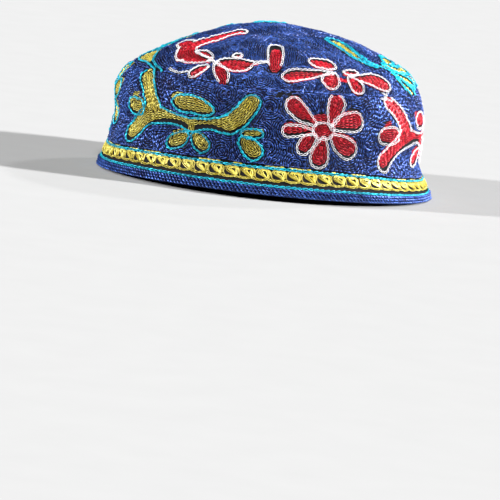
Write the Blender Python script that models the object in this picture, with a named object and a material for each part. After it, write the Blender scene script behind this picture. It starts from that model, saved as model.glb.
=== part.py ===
"""Bukharian kippah: a soft embroidered cap with a round crown, an upright side wall and a flared border.

Every piece is cut from one closed cap surface. The surface is a stack of unlike level sections,
each given by its reach to the right, front, left and back, and it is smoothed between sections
with a Catmull-Rom curve. Shallow dents are pressed into it from a short table. Each piece is a
closed cloth shell between that outer surface and the same surface set in along its own normal.
The front half of the soft rim is then arched up a little, so the cap rests on its sides and back.
"""

import math

import bmesh
import bpy
import numpy as np

MM = 0.001

# Level sections of the outer surface, in mm. The last row is the top of the crown.
SECTION_COLUMNS = ("height", "right", "front", "left", "back")
SECTIONS = (
    (0.0, 93.0, 93.0, 93.0, 93.0),
    (4.0, 92.0, 91.9, 92.3, 91.8),
    (8.0, 90.0, 90.4, 91.3, 90.4),
    (12.0, 87.4, 88.8, 89.8, 88.6),
    (16.0, 85.3, 87.4, 88.7, 87.2),
    (20.0, 84.2, 86.2, 87.7, 86.2),
    (26.0, 84.4, 85.4, 86.2, 85.4),
    (33.0, 84.9, 85.6, 85.6, 85.5),
    (40.0, 84.7, 86.2, 87.0, 86.0),
    (46.0, 84.1, 85.8, 87.0, 85.6),
    (51.0, 83.2, 84.2, 85.2, 84.2),
    (55.0, 82.0, 82.4, 83.0, 82.4),
    (58.5, 80.3, 79.8, 79.1, 79.8),
    (62.0, 78.0, 76.2, 74.3, 76.2),
    (66.0, 74.4, 70.8, 67.1, 70.8),
    (70.0, 69.2, 64.6, 59.9, 64.6),
    (74.0, 62.3, 57.0, 51.4, 57.0),
    (78.0, 52.8, 47.6, 42.2, 47.6),
    (81.5, 41.6, 37.6, 33.4, 37.6),
    (84.5, 29.0, 26.4, 23.8, 26.4),
    (86.8, 15.6, 14.4, 13.2, 14.4),
    (88.0, 0.0, 0.0, 0.0, 0.0),
)

# Soft dents in the cloth: where the middle is, half its width and height, and how deep, in degrees and mm.
DENT_COLUMNS = ("azimuth", "height", "half_width", "half_height", "depth")
DENTS = (
    (-84.0, 66.5, 40.0, 3.2, 1.5),
    (-112.0, 58.0, 34.0, 3.0, 0.9),
    (-58.0, 60.5, 30.0, 3.0, 0.7),
    (-40.0, 24.0, 26.0, 8.0, 0.8),
    (-128.0, 27.0, 24.0, 9.0, 0.7),
    (-92.0, 50.0, 16.0, 12.0, 0.5),
)

# Height of the border's upper edge at the right, front, left and back. It is highest at the front.
BORDER_TOPS = (11.7, 17.9, 13.8, 15.5)

# The soft rim arches up at the front: how far at its lower edge, and the height where that has died away.
FRONT_RAISE = 2.9
RAISE_TOP = 20.0

SEAM_SECTION = 12           # the section where the crown is sewn to the side wall
SEAM_GAP = 0.34             # clear space left along the surface where two pieces meet
CLOTH = 2.0                 # thickness of the embroidered cloth
HEM_CLOTH = 3.0             # thickness of the folded hem
HEM_HEIGHT = 5.0            # the hem thins out to plain cloth by this height
HEM_ROUND = 0.8             # radius of the hem's outer and inner corner
SEGMENTS = 96               # columns round the cap
WALL_ROWS = 9
BORDER_ROWS = 6
CROWN_ROWS = 12
APEX_STOP = 0.06            # the last ring before the top, in sections from it
NORMAL_STEP = 0.02          # step in sections and radians for the surface normal

# name, colour, roughness
FINISHES = {
    "crown": ((0.045, 0.085, 0.36), 0.5),
    "side_wall": ((0.035, 0.075, 0.33), 0.5),
    "border_band": ((0.42, 0.34, 0.08), 0.55),
}


def smooth_rows(table, t):
    """Catmull-Rom between the table's rows at the places t, with the profile mirrored past the top."""
    rows = np.array(table, dtype=float)
    below = 2.0 * rows[0] - rows[1]
    above = rows[-2] * np.array([1.0, -1.0, -1.0, -1.0, -1.0])
    rows = np.vstack([below, rows, above])
    t = np.asarray(t, dtype=float)
    start = np.clip(np.floor(t).astype(int), 0, len(table) - 2)
    f = (t - start)[..., None]
    a, b, c, d = rows[start], rows[start + 1], rows[start + 2], rows[start + 3]
    return 0.5 * (2 * b + (c - a) * f + (2 * a - 5 * b + 4 * c - d) * f**2 + (3 * b - a - 3 * c + d) * f**3)


def falloff(x):
    """1 in the middle, 0 from 1 outwards, smooth at both."""
    x = np.clip(np.abs(x), 0.0, 1.0)
    return (1.0 - x * x) ** 2


def bare_surface(azimuth, t):
    """The cap's outer surface before the dents, at an azimuth in radians and a section place t."""
    row = smooth_rows(SECTIONS, t)
    cosine, sine = np.cos(azimuth), np.sin(azimuth)
    side = np.where(cosine > 0, row[..., 1], row[..., 3])
    face = np.where(sine < 0, row[..., 2], row[..., 4])
    reach = side * cosine**2 + face * sine**2
    return np.stack([reach * cosine, reach * sine, row[..., 0]], axis=-1)


def surface_normal(azimuth, t):
    """Outward unit normal of the bare surface, from the cross product of its two tangents."""
    round_cap = bare_surface(azimuth + NORMAL_STEP, t) - bare_surface(azimuth - NORMAL_STEP, t)
    low = np.maximum(t - NORMAL_STEP, 0.0)
    high = np.minimum(t + NORMAL_STEP, len(SECTIONS) - 1.0)
    up_cap = bare_surface(azimuth, high) - bare_surface(azimuth, low)
    normal = np.cross(round_cap, up_cap)
    return normal / np.linalg.norm(normal, axis=-1, keepdims=True)


def dent_depth(point):
    """How far the dents press the surface in at a point, each one a smooth oval."""
    azimuth = np.arctan2(point[..., 1], point[..., 0])
    reach = np.hypot(point[..., 0], point[..., 1])
    depth = np.zeros_like(reach)
    for middle, height, half_width, half_height, deep in DENTS:
        turn = np.angle(np.exp(1j * (azimuth - math.radians(middle))))
        across = falloff(turn * reach / half_width)
        depth += deep * across * falloff((point[..., 2] - height) / half_height)
    return depth


def skin(azimuth, t, inset):
    """A point on the dented surface, set in by inset along the normal."""
    point = bare_surface(azimuth, t)
    inwards = inset + dent_depth(point)
    return point - surface_normal(azimuth, t) * np.asarray(inwards)[..., None]


def place_at_height(height):
    """The section place t where the surface has this height."""
    places = np.linspace(0.0, SEAM_SECTION + 1.0, 400)
    return np.interp(height, smooth_rows(SECTIONS, places)[:, 0], places)


def half_gap(t):
    """Half the clear space between two pieces, as a step in sections at the place t."""
    front = -math.pi / 2
    ahead = bare_surface(np.array(front), np.array(t + NORMAL_STEP))
    behind = bare_surface(np.array(front), np.array(t - NORMAL_STEP))
    per_section = np.linalg.norm(ahead - behind) / (2 * NORMAL_STEP)
    return 0.5 * SEAM_GAP / per_section


def border_height(azimuth):
    """Height of the border's upper edge, level over the front and back and falling near the sides."""
    right, front, left, back = BORDER_TOPS
    sideways = np.abs(np.cos(azimuth)) ** 3
    side = np.where(np.cos(azimuth) > 0, right, left)
    face = np.where(np.sin(azimuth) < 0, front, back)
    return side * sideways + face * (1.0 - sideways)


def arched(points):
    """Points with the front half of the rim raised, most at its lower edge and not at all at the sides."""
    x, y, z = points[:, 0], points[:, 1], points[:, 2]
    cosine = x / np.maximum(np.hypot(x, y), 1e-6)
    share = np.where(y < 0, 1.0 - np.abs(cosine) ** 3, 0.0)
    raised = FRONT_RAISE * share * np.clip(1.0 - z / RAISE_TOP, 0.0, 1.0) ** 2
    return np.column_stack([x, y, z + raised])


def ring_azimuths():
    return np.linspace(0.0, 2.0 * math.pi, SEGMENTS, endpoint=False)


def mesh_object(name, points, faces):
    """A mesh object with its own material, from points in mm and faces as tuples of indices."""
    mesh = bpy.data.meshes.new(name)
    mesh.from_pydata([tuple(p) for p in arched(np.asarray(points)) * MM], [], faces)
    mesh.update()
    work = bmesh.new()
    work.from_mesh(mesh)
    bmesh.ops.recalc_face_normals(work, faces=work.faces)
    work.to_mesh(mesh)
    work.free()
    for polygon in mesh.polygons:
        polygon.use_smooth = True
    colour, roughness = FINISHES[name]
    material = bpy.data.materials.new(name)
    material.use_nodes = True
    shader = material.node_tree.nodes["Principled BSDF"]
    shader.inputs["Base Color"].default_value = (*colour, 1.0)
    shader.inputs["Roughness"].default_value = roughness
    shader.inputs["Metallic"].default_value = 0.0
    mesh.materials.append(material)
    built = bpy.data.objects.new(name, mesh)
    bpy.context.scene.collection.objects.link(built)
    return built


def ring_loft(name, sections):
    """Lofts closed sections round the cap: sections is (columns, points in a section, 3)."""
    columns, count = sections.shape[:2]
    faces = []
    for i in range(columns):
        for j in range(count):
            here, ahead = i * count, ((i + 1) % columns) * count
            after = (j + 1) % count
            faces.append((here + j, ahead + j, ahead + after, here + after))
    return mesh_object(name, sections.reshape(-1, 3), faces)


def side_wall():
    """The upright cloth ring between the border and the crown, open at the top and bottom."""
    azimuth = ring_azimuths()
    low = place_at_height(border_height(azimuth)) + half_gap(place_at_height(BORDER_TOPS[1]))
    high = SEAM_SECTION - half_gap(float(SEAM_SECTION))
    share = np.linspace(0.0, 1.0, WALL_ROWS)
    t = low[:, None] + (high - low)[:, None] * share
    columns = np.repeat(azimuth[:, None], WALL_ROWS, axis=1)
    outer = skin(columns, t, 0.0)
    inner = skin(columns, t, CLOTH)
    return ring_loft("side_wall", np.concatenate([outer, inner[:, ::-1]], axis=1))


def border_band():
    """The flared embroidered border, with a thicker turned hem that is flat underneath."""
    azimuth = ring_azimuths()
    high = place_at_height(border_height(azimuth)) - half_gap(place_at_height(BORDER_TOPS[1]))
    low = np.full_like(high, place_at_height(HEM_ROUND))
    share = np.linspace(0.0, 1.0, BORDER_ROWS)
    t = low[:, None] + (high - low)[:, None] * share
    columns = np.repeat(azimuth[:, None], BORDER_ROWS, axis=1)
    outer = skin(columns, t, 0.0)
    thick = CLOTH + (HEM_CLOTH - CLOTH) * np.clip(1.0 - outer[..., 2] / HEM_HEIGHT, 0.0, 1.0)
    inner = skin(columns, t, thick)
    inner[:, 0, 2] = HEM_ROUND
    foot_outer = outer[:, :1].copy()
    foot_inner = inner[:, :1].copy()
    for foot, step in ((foot_outer, -HEM_ROUND), (foot_inner, HEM_ROUND)):
        reach = np.hypot(foot[..., 0], foot[..., 1])
        foot[..., :2] *= ((reach + step) / reach)[..., None]
        foot[..., 2] = 0.0
    section = np.concatenate([foot_outer, outer, inner[:, ::-1], foot_inner], axis=1)
    return ring_loft("border_band", section)


def crown():
    """The round domed top: an outer and an inner dome joined at the lower edge."""
    azimuth = ring_azimuths()
    top = len(SECTIONS) - 1.0
    low = SEAM_SECTION + half_gap(float(SEAM_SECTION))
    t = np.linspace(low, top - APEX_STOP * 5, CROWN_ROWS)
    t = np.concatenate([t, [top - APEX_STOP]])
    columns = np.repeat(azimuth[:, None], len(t), axis=1)
    rows = np.repeat(t[None, :], SEGMENTS, axis=0)
    outer = skin(columns, rows, 0.0)
    inner = skin(columns, rows, CLOTH)
    count = len(t)
    apex = smooth_rows(SECTIONS, np.array(top))[0]
    points = np.concatenate([outer.reshape(-1, 3), inner.reshape(-1, 3), [(0.0, 0.0, apex), (0.0, 0.0, apex - CLOTH)]])
    inner_start = SEGMENTS * count
    faces = []
    for i in range(SEGMENTS):
        here, ahead = i * count, ((i + 1) % SEGMENTS) * count
        for j in range(count - 1):
            faces.append((here + j, ahead + j, ahead + j + 1, here + j + 1))
            faces.append((inner_start + here + j + 1, inner_start + ahead + j + 1,
                          inner_start + ahead + j, inner_start + here + j))
        faces.append((here, inner_start + here, inner_start + ahead, ahead))
        faces.append((here + count - 1, ahead + count - 1, 2 * inner_start))
        faces.append((inner_start + ahead + count - 1, inner_start + here + count - 1, 2 * inner_start + 1))
    return mesh_object("crown", points, faces)


def main():
    for old in list(bpy.data.objects):
        bpy.data.objects.remove(old, do_unlink=True)
    border_band()
    side_wall()
    crown()


main()
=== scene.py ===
"""Looks of the bukharian kippah: black cloth panels worked all over in raised chain stitch.

Lengths in the tables and in the sewing code are millimetres, and meshes are written in metres.
The cap's outer surface is the one that its solids were cut from. Each panel has flat sewing
coordinates: x runs round the cap and y up it on the side wall and the border, and on the crown
x and y are measured from the middle of the top, as on a round cloth laid flat.
"""

from __future__ import annotations

import logging
import math
from collections.abc import Callable, Sequence
from dataclasses import dataclass, field, replace
from enum import Enum

import bpy
import numpy as np
from mathutils import Matrix


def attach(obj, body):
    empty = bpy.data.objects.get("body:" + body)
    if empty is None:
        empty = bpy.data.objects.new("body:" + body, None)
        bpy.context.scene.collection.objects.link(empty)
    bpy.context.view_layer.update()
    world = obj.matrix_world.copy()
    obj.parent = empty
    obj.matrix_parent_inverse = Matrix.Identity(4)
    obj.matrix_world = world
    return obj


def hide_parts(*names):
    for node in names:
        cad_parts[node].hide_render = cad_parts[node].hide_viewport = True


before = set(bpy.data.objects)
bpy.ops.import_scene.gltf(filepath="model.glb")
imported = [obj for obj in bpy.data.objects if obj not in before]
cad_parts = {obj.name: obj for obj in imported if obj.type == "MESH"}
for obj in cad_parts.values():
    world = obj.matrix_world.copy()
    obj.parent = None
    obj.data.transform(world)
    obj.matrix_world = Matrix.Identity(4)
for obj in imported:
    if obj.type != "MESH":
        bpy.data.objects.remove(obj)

Array = np.ndarray
Pair = tuple[float, float]
Triple = tuple[float, float, float]
MM = 0.001
TURN = 2.0 * math.pi
FRONT = -0.5 * math.pi
BODY = "root"
LOG = logging.getLogger("kippah")

# height, reach to the right, front, left and back
SECTIONS = (
    (0.0, 93.0, 93.0, 93.0, 93.0),
    (4.0, 92.0, 91.9, 92.3, 91.8),
    (8.0, 90.0, 90.4, 91.3, 90.4),
    (12.0, 87.4, 88.8, 89.8, 88.6),
    (16.0, 85.3, 87.4, 88.7, 87.2),
    (20.0, 84.2, 86.2, 87.7, 86.2),
    (26.0, 84.4, 85.4, 86.2, 85.4),
    (33.0, 84.9, 85.6, 85.6, 85.5),
    (40.0, 84.7, 86.2, 87.0, 86.0),
    (46.0, 84.1, 85.8, 87.0, 85.6),
    (51.0, 83.2, 84.2, 85.2, 84.2),
    (55.0, 82.0, 82.4, 83.0, 82.4),
    (58.5, 80.3, 79.8, 79.1, 79.8),
    (62.0, 78.0, 76.2, 74.3, 76.2),
    (66.0, 74.4, 70.8, 67.1, 70.8),
    (70.0, 69.2, 64.6, 59.9, 64.6),
    (74.0, 62.3, 57.0, 51.4, 57.0),
    (78.0, 52.8, 47.6, 42.2, 47.6),
    (81.5, 41.6, 37.6, 33.4, 37.6),
    (84.5, 29.0, 26.4, 23.8, 26.4),
    (86.8, 15.6, 14.4, 13.2, 14.4),
    (88.0, 0.0, 0.0, 0.0, 0.0),
)

# azimuth in degrees, height, half width, half height, depth
DENTS = (
    (-84.0, 66.5, 40.0, 3.2, 1.5),
    (-112.0, 58.0, 34.0, 3.0, 0.9),
    (-58.0, 60.5, 30.0, 3.0, 0.7),
    (-40.0, 24.0, 26.0, 8.0, 0.8),
    (-128.0, 27.0, 24.0, 9.0, 0.7),
    (-92.0, 50.0, 16.0, 12.0, 0.5),
)

# height of the border's upper edge at the right, front, left and back
BORDER_TOPS = (11.7, 17.9, 13.8, 15.5)

# how far the front of the soft rim arches up, and the height where that has died away
FRONT_RAISE = 2.9
RAISE_TOP = 20.0

# slow waves of the cloth: share, waves round the cap, mm of arc to a radian, start in radians
SWELLS = ((1.0, 5.0, 9.0, 0.0), (0.8, 11.0, -6.5, 1.3), (0.6, 17.0, 4.6, 4.0))


def catmull_rom(rows: Array, places: Array) -> Array:
    """Smooth rows between the rows of a table that has one row more at each end.

    Half of (2b + (c - a)f + (2a - 5b + 4c - d)f^2 + (3b - a - 3c + d)f^3), where b and c are the rows
    on either side of the place, a and d the ones beyond them, and f is the part of the step.

    Args:
        rows: the table with its extra rows.
        places: places along the table, where 0 is its second row.

    Returns:
        One row for each place.
    """
    start = np.clip(np.floor(places).astype(int), 0, len(rows) - 4)
    f = (places - start).reshape(places.shape + (1,) * (rows.ndim - 1))
    a, b, c, d = (rows[start + k] for k in range(4))
    return 0.5 * (2 * b + (c - a) * f + (2 * a - 5 * b + 4 * c - d) * f**2 + (3 * b - a - 3 * c + d) * f**3)


def with_ends(rows: Array) -> Array:
    """Rows with one more at each end: twice the end row less its neighbour."""
    return np.concatenate([2 * rows[:1] - rows[1:2], rows, 2 * rows[-1:] - rows[-2:-1]])


def sections_at(places: Array) -> Array:
    """Height and four reaches at places of the section table, whose profile is mirrored past the top."""
    rows = np.array(SECTIONS, dtype=float)
    mirrored = rows[-2] * np.array([1.0, -1.0, -1.0, -1.0, -1.0])
    return catmull_rom(np.vstack([2.0 * rows[0] - rows[1], rows, mirrored]), places)


def unit(vectors: Array) -> Array:
    """Vectors divided by their lengths."""
    return vectors / np.linalg.norm(vectors, axis=-1, keepdims=True)


def compass(angle: Array) -> Array:
    """Flat unit vectors: cosine and sine of the angle."""
    return np.stack([np.cos(angle), np.sin(angle)], axis=-1)


def spokes(turns: Array, aside: Array, upward: Array) -> Array:
    """Vectors round a line: the turn's cosine times the side vector plus its sine times the upward one."""
    return np.cos(turns)[:, None] * aside[..., None, :] + np.sin(turns)[:, None] * upward[..., None, :]


def into_turn(x: Array, period: float) -> Array:
    """Lengths round the cap, taken to within half a period of nothing where there is a period."""
    return (x + 0.5 * period) % period - 0.5 * period if period else x


def grid_quads(rows: int, columns: int, round_rows: bool, round_columns: bool) -> Array:
    """Squares between the neighbours of a grid whose corners are numbered row by row.

    Args:
        rows: how many rows.
        columns: how many corners are in a row.
        round_rows: whether the last row joins the first.
        round_columns: whether a row's last corner joins its first.

    Returns:
        Corner numbers, four to a square.
    """
    across, along = np.arange(rows - int(not round_rows)), np.arange(columns - int(not round_columns))
    i, j = np.meshgrid(across, along, indexing="ij")
    here, ahead, after = i * columns, (i + 1) % rows * columns, (j + 1) % columns
    return np.stack([here + j, ahead + j, ahead + after, here + after], axis=-1).reshape(-1, 4)


def border_height(azimuth: Array) -> Array:
    """Height of the border's upper edge: the side's share is the cosine's size cubed, the face's is the rest."""
    right, front, left, back = BORDER_TOPS
    sideways = np.abs(np.cos(azimuth)) ** 3
    side = np.where(np.cos(azimuth) > 0, right, left)
    face = np.where(np.sin(azimuth) < 0, front, back)
    return side * sideways + face * (1.0 - sideways)


def arched(points: Array) -> Array:
    """Points with the front half of the rim raised: most at its lower edge and not at all at the sides."""
    x, y, z = np.moveaxis(points, -1, 0)
    cosine = x / np.maximum(np.hypot(x, y), 1e-6)
    share = np.where(y < 0, 1.0 - np.abs(cosine) ** 3, 0.0)
    raised = FRONT_RAISE * share * np.clip(1.0 - z / RAISE_TOP, 0.0, 1.0) ** 2
    return np.stack([x, y, z + raised], axis=-1)


@dataclass
class CapShape:
    """The cap's outer surface as a dense grid of points and normals, read by azimuth and arc.

    Arc is the length up the mean profile from the rim, so the rim is 0 and the top is `total`.
    """

    columns: int = 720
    per_section: int = 16
    seam_section: int = 12
    swell: float = 0.28
    rim_fade: float = 14.0
    top_fade: float = 40.0
    points: Array = field(init=False, repr=False)
    normals: Array = field(init=False, repr=False)
    places: Array = field(init=False, repr=False)
    arcs: Array = field(init=False, repr=False)
    heights: Array = field(init=False, repr=False)

    def __post_init__(self) -> None:
        """Works out the grid: columns of azimuth by rows of section place."""
        self.places = np.linspace(0.0, len(SECTIONS) - 1.0, (len(SECTIONS) - 1) * self.per_section + 1)
        mean = sections_at(self.places)
        reach = mean[:, 1:].mean(axis=1)
        steps = np.hypot(np.diff(reach), np.diff(mean[:, 0]))
        self.arcs = np.concatenate([[0.0], np.cumsum(steps)])
        self.heights = mean[:, 0]
        azimuth = np.linspace(0.0, TURN, self.columns + 1)[:, None]
        bare = self.bare(azimuth, self.places[None, :])
        push = self.soft_swell(azimuth, self.arcs[None, :]) - self.dent_depth(bare)
        self.points = bare + self.grid_normals(bare) * push[..., None]
        self.normals = self.grid_normals(self.points)

    @property
    def total(self) -> float:
        """Arc of the top of the crown."""
        return float(self.arcs[-1])

    @property
    def seam(self) -> float:
        """Arc of the seam between the wall and the crown."""
        return float(np.interp(self.seam_section, self.places, self.arcs))

    def arc_at_height(self, height: Array) -> Array:
        """Arc where the mean profile has this height."""
        return np.interp(height, self.heights, self.arcs)

    def bare(self, azimuth: Array, places: Array) -> Array:
        """The surface before dents: the reach is side times cosine squared plus face times sine squared.

        Args:
            azimuth: angle from the cap's right, in radians.
            places: section places.

        Returns:
            Points in mm.
        """
        azimuth, places = np.broadcast_arrays(azimuth, places)
        row = sections_at(places)
        cosine, sine = np.cos(azimuth), np.sin(azimuth)
        side = np.where(cosine > 0, row[..., 1], row[..., 3])
        face = np.where(sine < 0, row[..., 2], row[..., 4])
        reach = side * cosine**2 + face * sine**2
        return np.stack([reach * cosine, reach * sine, row[..., 0]], axis=-1)

    def dent_depth(self, points: Array) -> Array:
        """Depth of the soft dents: each is (1 - x^2)^2 across times the same up, and they add up."""
        azimuth = np.arctan2(points[..., 1], points[..., 0])
        reach = np.hypot(points[..., 0], points[..., 1])
        depth = np.zeros_like(reach)
        for middle, height, half_width, half_height, deep in DENTS:
            turn = np.angle(np.exp(1j * (azimuth - math.radians(middle))))
            across = np.clip(np.abs(turn * reach / half_width), 0.0, 1.0)
            upward = np.clip(np.abs((points[..., 2] - height) / half_height), 0.0, 1.0)
            depth += deep * (1 - across**2) ** 2 * (1 - upward**2) ** 2
        return depth

    def soft_swell(self, azimuth: Array, arcs: Array) -> Array:
        """Slow waves of the cloth: the sum of the sines in SWELLS, which dies away at the rim and the top."""
        fade = np.clip(arcs / self.rim_fade, 0.0, 1.0) * np.clip((self.total - arcs) / self.top_fade, 0.0, 1.0)
        waves = sum(share * np.sin(turns * azimuth + arcs / length + start) for share, turns, length, start in SWELLS)
        return self.swell * fade * waves

    def grid_normals(self, points: Array) -> Array:
        """Outward unit normals of the grid: the step round the cap crossed with the step up it."""
        closed = np.concatenate([points[-2:-1], points, points[1:2]])
        round_cap = closed[2:] - closed[:-2]
        up_cap = np.gradient(points, axis=1)
        normal = np.cross(round_cap, up_cap)
        length = np.linalg.norm(normal, axis=-1, keepdims=True)
        normal = np.where(length > 1e-9, normal / np.maximum(length, 1e-9), np.array([0.0, 0.0, 1.0]))
        normal[:, -1] = (0.0, 0.0, 1.0)
        return normal

    def place(self, azimuth: Array, arc: Array, lift: Array) -> Array:
        """Points at a lift off the surface, read from the grid between its four nearest corners.

        Args:
            azimuth: angles in radians.
            arc: arcs in mm.
            lift: distance out along the normal in mm.

        Returns:
            Points in mm.
        """
        u = (azimuth % TURN) / TURN * self.columns
        v = np.interp(arc, self.arcs, self.places) * self.per_section
        i = np.clip(u.astype(int), 0, self.columns - 1)
        j = np.clip(v.astype(int), 0, len(self.arcs) - 2)
        fu, fv = (u - i)[..., None], (v - j)[..., None]

        def read(grid: Array) -> Array:
            """The grid between its corners."""
            low = grid[i, j] * (1 - fu) + grid[i + 1, j] * fu
            high = grid[i, j + 1] * (1 - fu) + grid[i + 1, j + 1] * fu
            return low * (1 - fv) + high * fv

        return read(self.points) + read(self.normals) * np.asarray(lift)[..., None]


class Wire:
    """A node's output socket, so that shader maths reads as plain sums."""

    def __init__(self, shop: "NodeShop", socket: bpy.types.NodeSocket) -> None:
        """Wraps a socket of a shop's tree."""
        self.shop = shop
        self.socket = socket

    def maths(self, operation: str, *values: "Wire | float") -> "Wire":
        """A Math node on the values, in order."""
        node = self.shop.node("ShaderNodeMath", {"operation": operation}, dict(enumerate(values)))
        return Wire(self.shop, node.outputs[0])

    def __add__(self, other: "Wire | float") -> "Wire":
        """Sum."""
        return self.maths("ADD", self, other)

    def __radd__(self, other: float) -> "Wire":
        """Sum."""
        return self.maths("ADD", other, self)

    def __sub__(self, other: "Wire | float") -> "Wire":
        """Difference."""
        return self.maths("SUBTRACT", self, other)

    def __rsub__(self, other: float) -> "Wire":
        """Difference from a number."""
        return self.maths("SUBTRACT", other, self)

    def __mul__(self, other: "Wire | float") -> "Wire":
        """Product."""
        return self.maths("MULTIPLY", self, other)

    def __rmul__(self, other: float) -> "Wire":
        """Product."""
        return self.maths("MULTIPLY", other, self)

    def sine(self) -> "Wire":
        """Sine of the value."""
        return self.maths("SINE", self)

    def clipped(self) -> "Wire":
        """The value held between 0 and 1."""
        return self.maths("MINIMUM", self.maths("MAXIMUM", self, 0.0), 1.0)


class NodeShop:
    """Builds one material's node tree round its Principled shader."""

    def __init__(self, name: str) -> None:
        """Starts a material with only a Principled shader."""
        self.material = bpy.data.materials.new(name)
        self.material.use_nodes = True
        self.tree = self.material.node_tree
        self.shader = self.tree.nodes["Principled BSDF"]

    def node(self, kind: str, settings: dict | None = None, sockets: dict | None = None) -> bpy.types.Node:
        """A node with its settings made first, then its sockets' values or links.

        Args:
            kind: the node's type name.
            settings: attributes of the node.
            sockets: values or wires by socket name or number.

        Returns:
            The node.
        """
        node = self.tree.nodes.new(kind)
        for key, value in (settings or {}).items():
            setattr(node, key, value)
        for key, value in (sockets or {}).items():
            self.feed(node.inputs[key], value)
        return node

    def feed(self, socket: bpy.types.NodeSocket, value: "Wire | float | tuple") -> None:
        """Links a wire to a socket, or sets the socket's own value."""
        if isinstance(value, Wire):
            self.tree.links.new(value.socket, socket)
        else:
            socket.default_value = value

    def wire(self, node: bpy.types.Node, output: str | int = 0) -> Wire:
        """One output of a node as a wire."""
        return Wire(self, node.outputs[output])

    def attribute(self, name: str, output: str = "Fac") -> Wire:
        """A mesh attribute as a number or a vector."""
        return self.wire(self.node("ShaderNodeAttribute", {"attribute_name": name}), output)

    def place_on_object(self) -> Wire:
        """Object coordinates."""
        return self.wire(self.node("ShaderNodeTexCoord"), "Object")

    def scaled(self, vector: Wire, scale: Triple) -> Wire:
        """A vector stretched along its axes."""
        return self.wire(self.node("ShaderNodeMapping", None, {"Vector": vector, "Scale": scale}))

    def noise(self, vector: Wire, scale: float, detail: float = 2.0, roughness: float = 0.5) -> Wire:
        """A noise value from 0 to 1 at a vector."""
        values = {"Vector": vector, "Scale": scale, "Detail": detail, "Roughness": roughness}
        return self.wire(self.node("ShaderNodeTexNoise", None, values))

    def blend(self, share: "Wire | float", first: "Wire | tuple", second: "Wire | tuple") -> Wire:
        """A colour between two, by share."""
        return self.wire(self.node("ShaderNodeMix", {"data_type": "RGBA"}, {0: share, 6: first, 7: second}), 2)

    def bump(self, height: Wire, strength: float, distance: float) -> Wire:
        """A bumped normal from a height."""
        values = {"Strength": strength, "Distance": distance, "Height": height}
        return self.wire(self.node("ShaderNodeBump", None, values))

    def dress(self, **sockets: "Wire | float | tuple") -> bpy.types.Material:
        """Feeds the Principled shader's sockets, named with underscores for spaces.

        Returns:
            The finished material.
        """
        for key, value in sockets.items():
            self.feed(self.shader.inputs[key.replace("_", " ")], value)
        return self.material


@dataclass(frozen=True)
class ThreadFinish:
    """Silky embroidery thread: fine filaments along it, a tone of its own for each stitch."""

    name: str
    deep: Triple
    clear: Triple
    roughness: float = 0.26
    silk: float = 0.6
    # how strongly the painted shade at a strand's foot darkens the thread
    shade: float = 1.0
    filaments: float = 0.25
    filament_depth: float = 0.00006
    grain: Triple = (0.9, 9.0, 9.0)
    drift: float = 55.0
    uneven: float = 0.24
    # share of the deep colour that the painted shade at a strand's foot reaches
    foot: float = 0.45

    def material(self) -> bpy.types.Material:
        """The thread's material.

        The colour goes from deep to clear with 0.9 of the stitch's tone, half of a slow drift over the
        cap and 0.3 of the filaments' noise, less 0.4. It is darkened by painted shade as a strand's height
        falls below its top, towards the foot share of the deep colour, standing in for the shade between
        the stitches. The noise is drawn out along the strand, by the strand's own coordinates in mm.

        Returns:
            The material.
        """
        shop = NodeShop(self.name)
        strand = shop.attribute("strand", "Vector")
        fibre = shop.noise(shop.scaled(strand, self.grain), 1.0, 2.0, 0.6)
        drift = shop.noise(shop.place_on_object(), self.drift, 2.0, 0.55)
        tone = shop.attribute("tone")
        share = (tone * 0.9 + drift * 0.5 + fibre * 0.3 - 0.4).clipped()
        colour = shop.blend(share, (*self.deep, 1.0), (*self.clear, 1.0))
        # painted shade: the low parts of each strand are drawn darker, for the shade between the stitches
        painted_shade = (*[self.foot * part for part in self.deep], 1.0)
        low = ((1.35 - shop.attribute("height") * 1.3) * self.shade).clipped()
        return shop.dress(
            Base_Color=shop.blend(low, colour, painted_shade),
            Roughness=fibre * self.uneven + (self.roughness - 0.5 * self.uneven),
            Metallic=self.silk,
            Specular_IOR_Level=0.5,
            Normal=shop.bump(fibre, self.filaments, self.filament_depth),
        )


@dataclass(frozen=True)
class ClothFinish:
    """Plain woven black cotton, seen between the stitches, in the border and inside the cap."""

    name: str = "black_cotton"
    deep: Triple = (0.004, 0.004, 0.005)
    clear: Triple = (0.016, 0.016, 0.018)
    yarns_per_mm: float = 1.9
    fuzz: float = 900.0
    relief: float = 0.0002

    def material(self) -> bpy.types.Material:
        """The cloth's material: warp and weft as two crossed sines of the panel's own mm coordinates.

        Returns:
            The material.
        """
        shop = NodeShop(self.name)
        split = shop.node("ShaderNodeSeparateXYZ", None, {"Vector": shop.attribute("panel", "Vector")})
        turns = TURN * self.yarns_per_mm
        warp = (shop.wire(split, "X") * turns).sine()
        weft = (shop.wire(split, "Y") * turns).sine()
        fuzz = shop.noise(shop.place_on_object(), self.fuzz, 3.0, 0.6)
        weave = warp * weft * 0.5 + 0.5
        colour = shop.blend((weave * 0.5 + fuzz * 0.5).clipped(), (*self.deep, 1.0), (*self.clear, 1.0))
        return shop.dress(
            Base_Color=colour,
            Roughness=fuzz * 0.15 + 0.78,
            Specular_IOR_Level=0.1,
            Normal=shop.bump(weave * 0.7 + fuzz * 0.3, 0.5, self.relief),
        )


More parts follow.
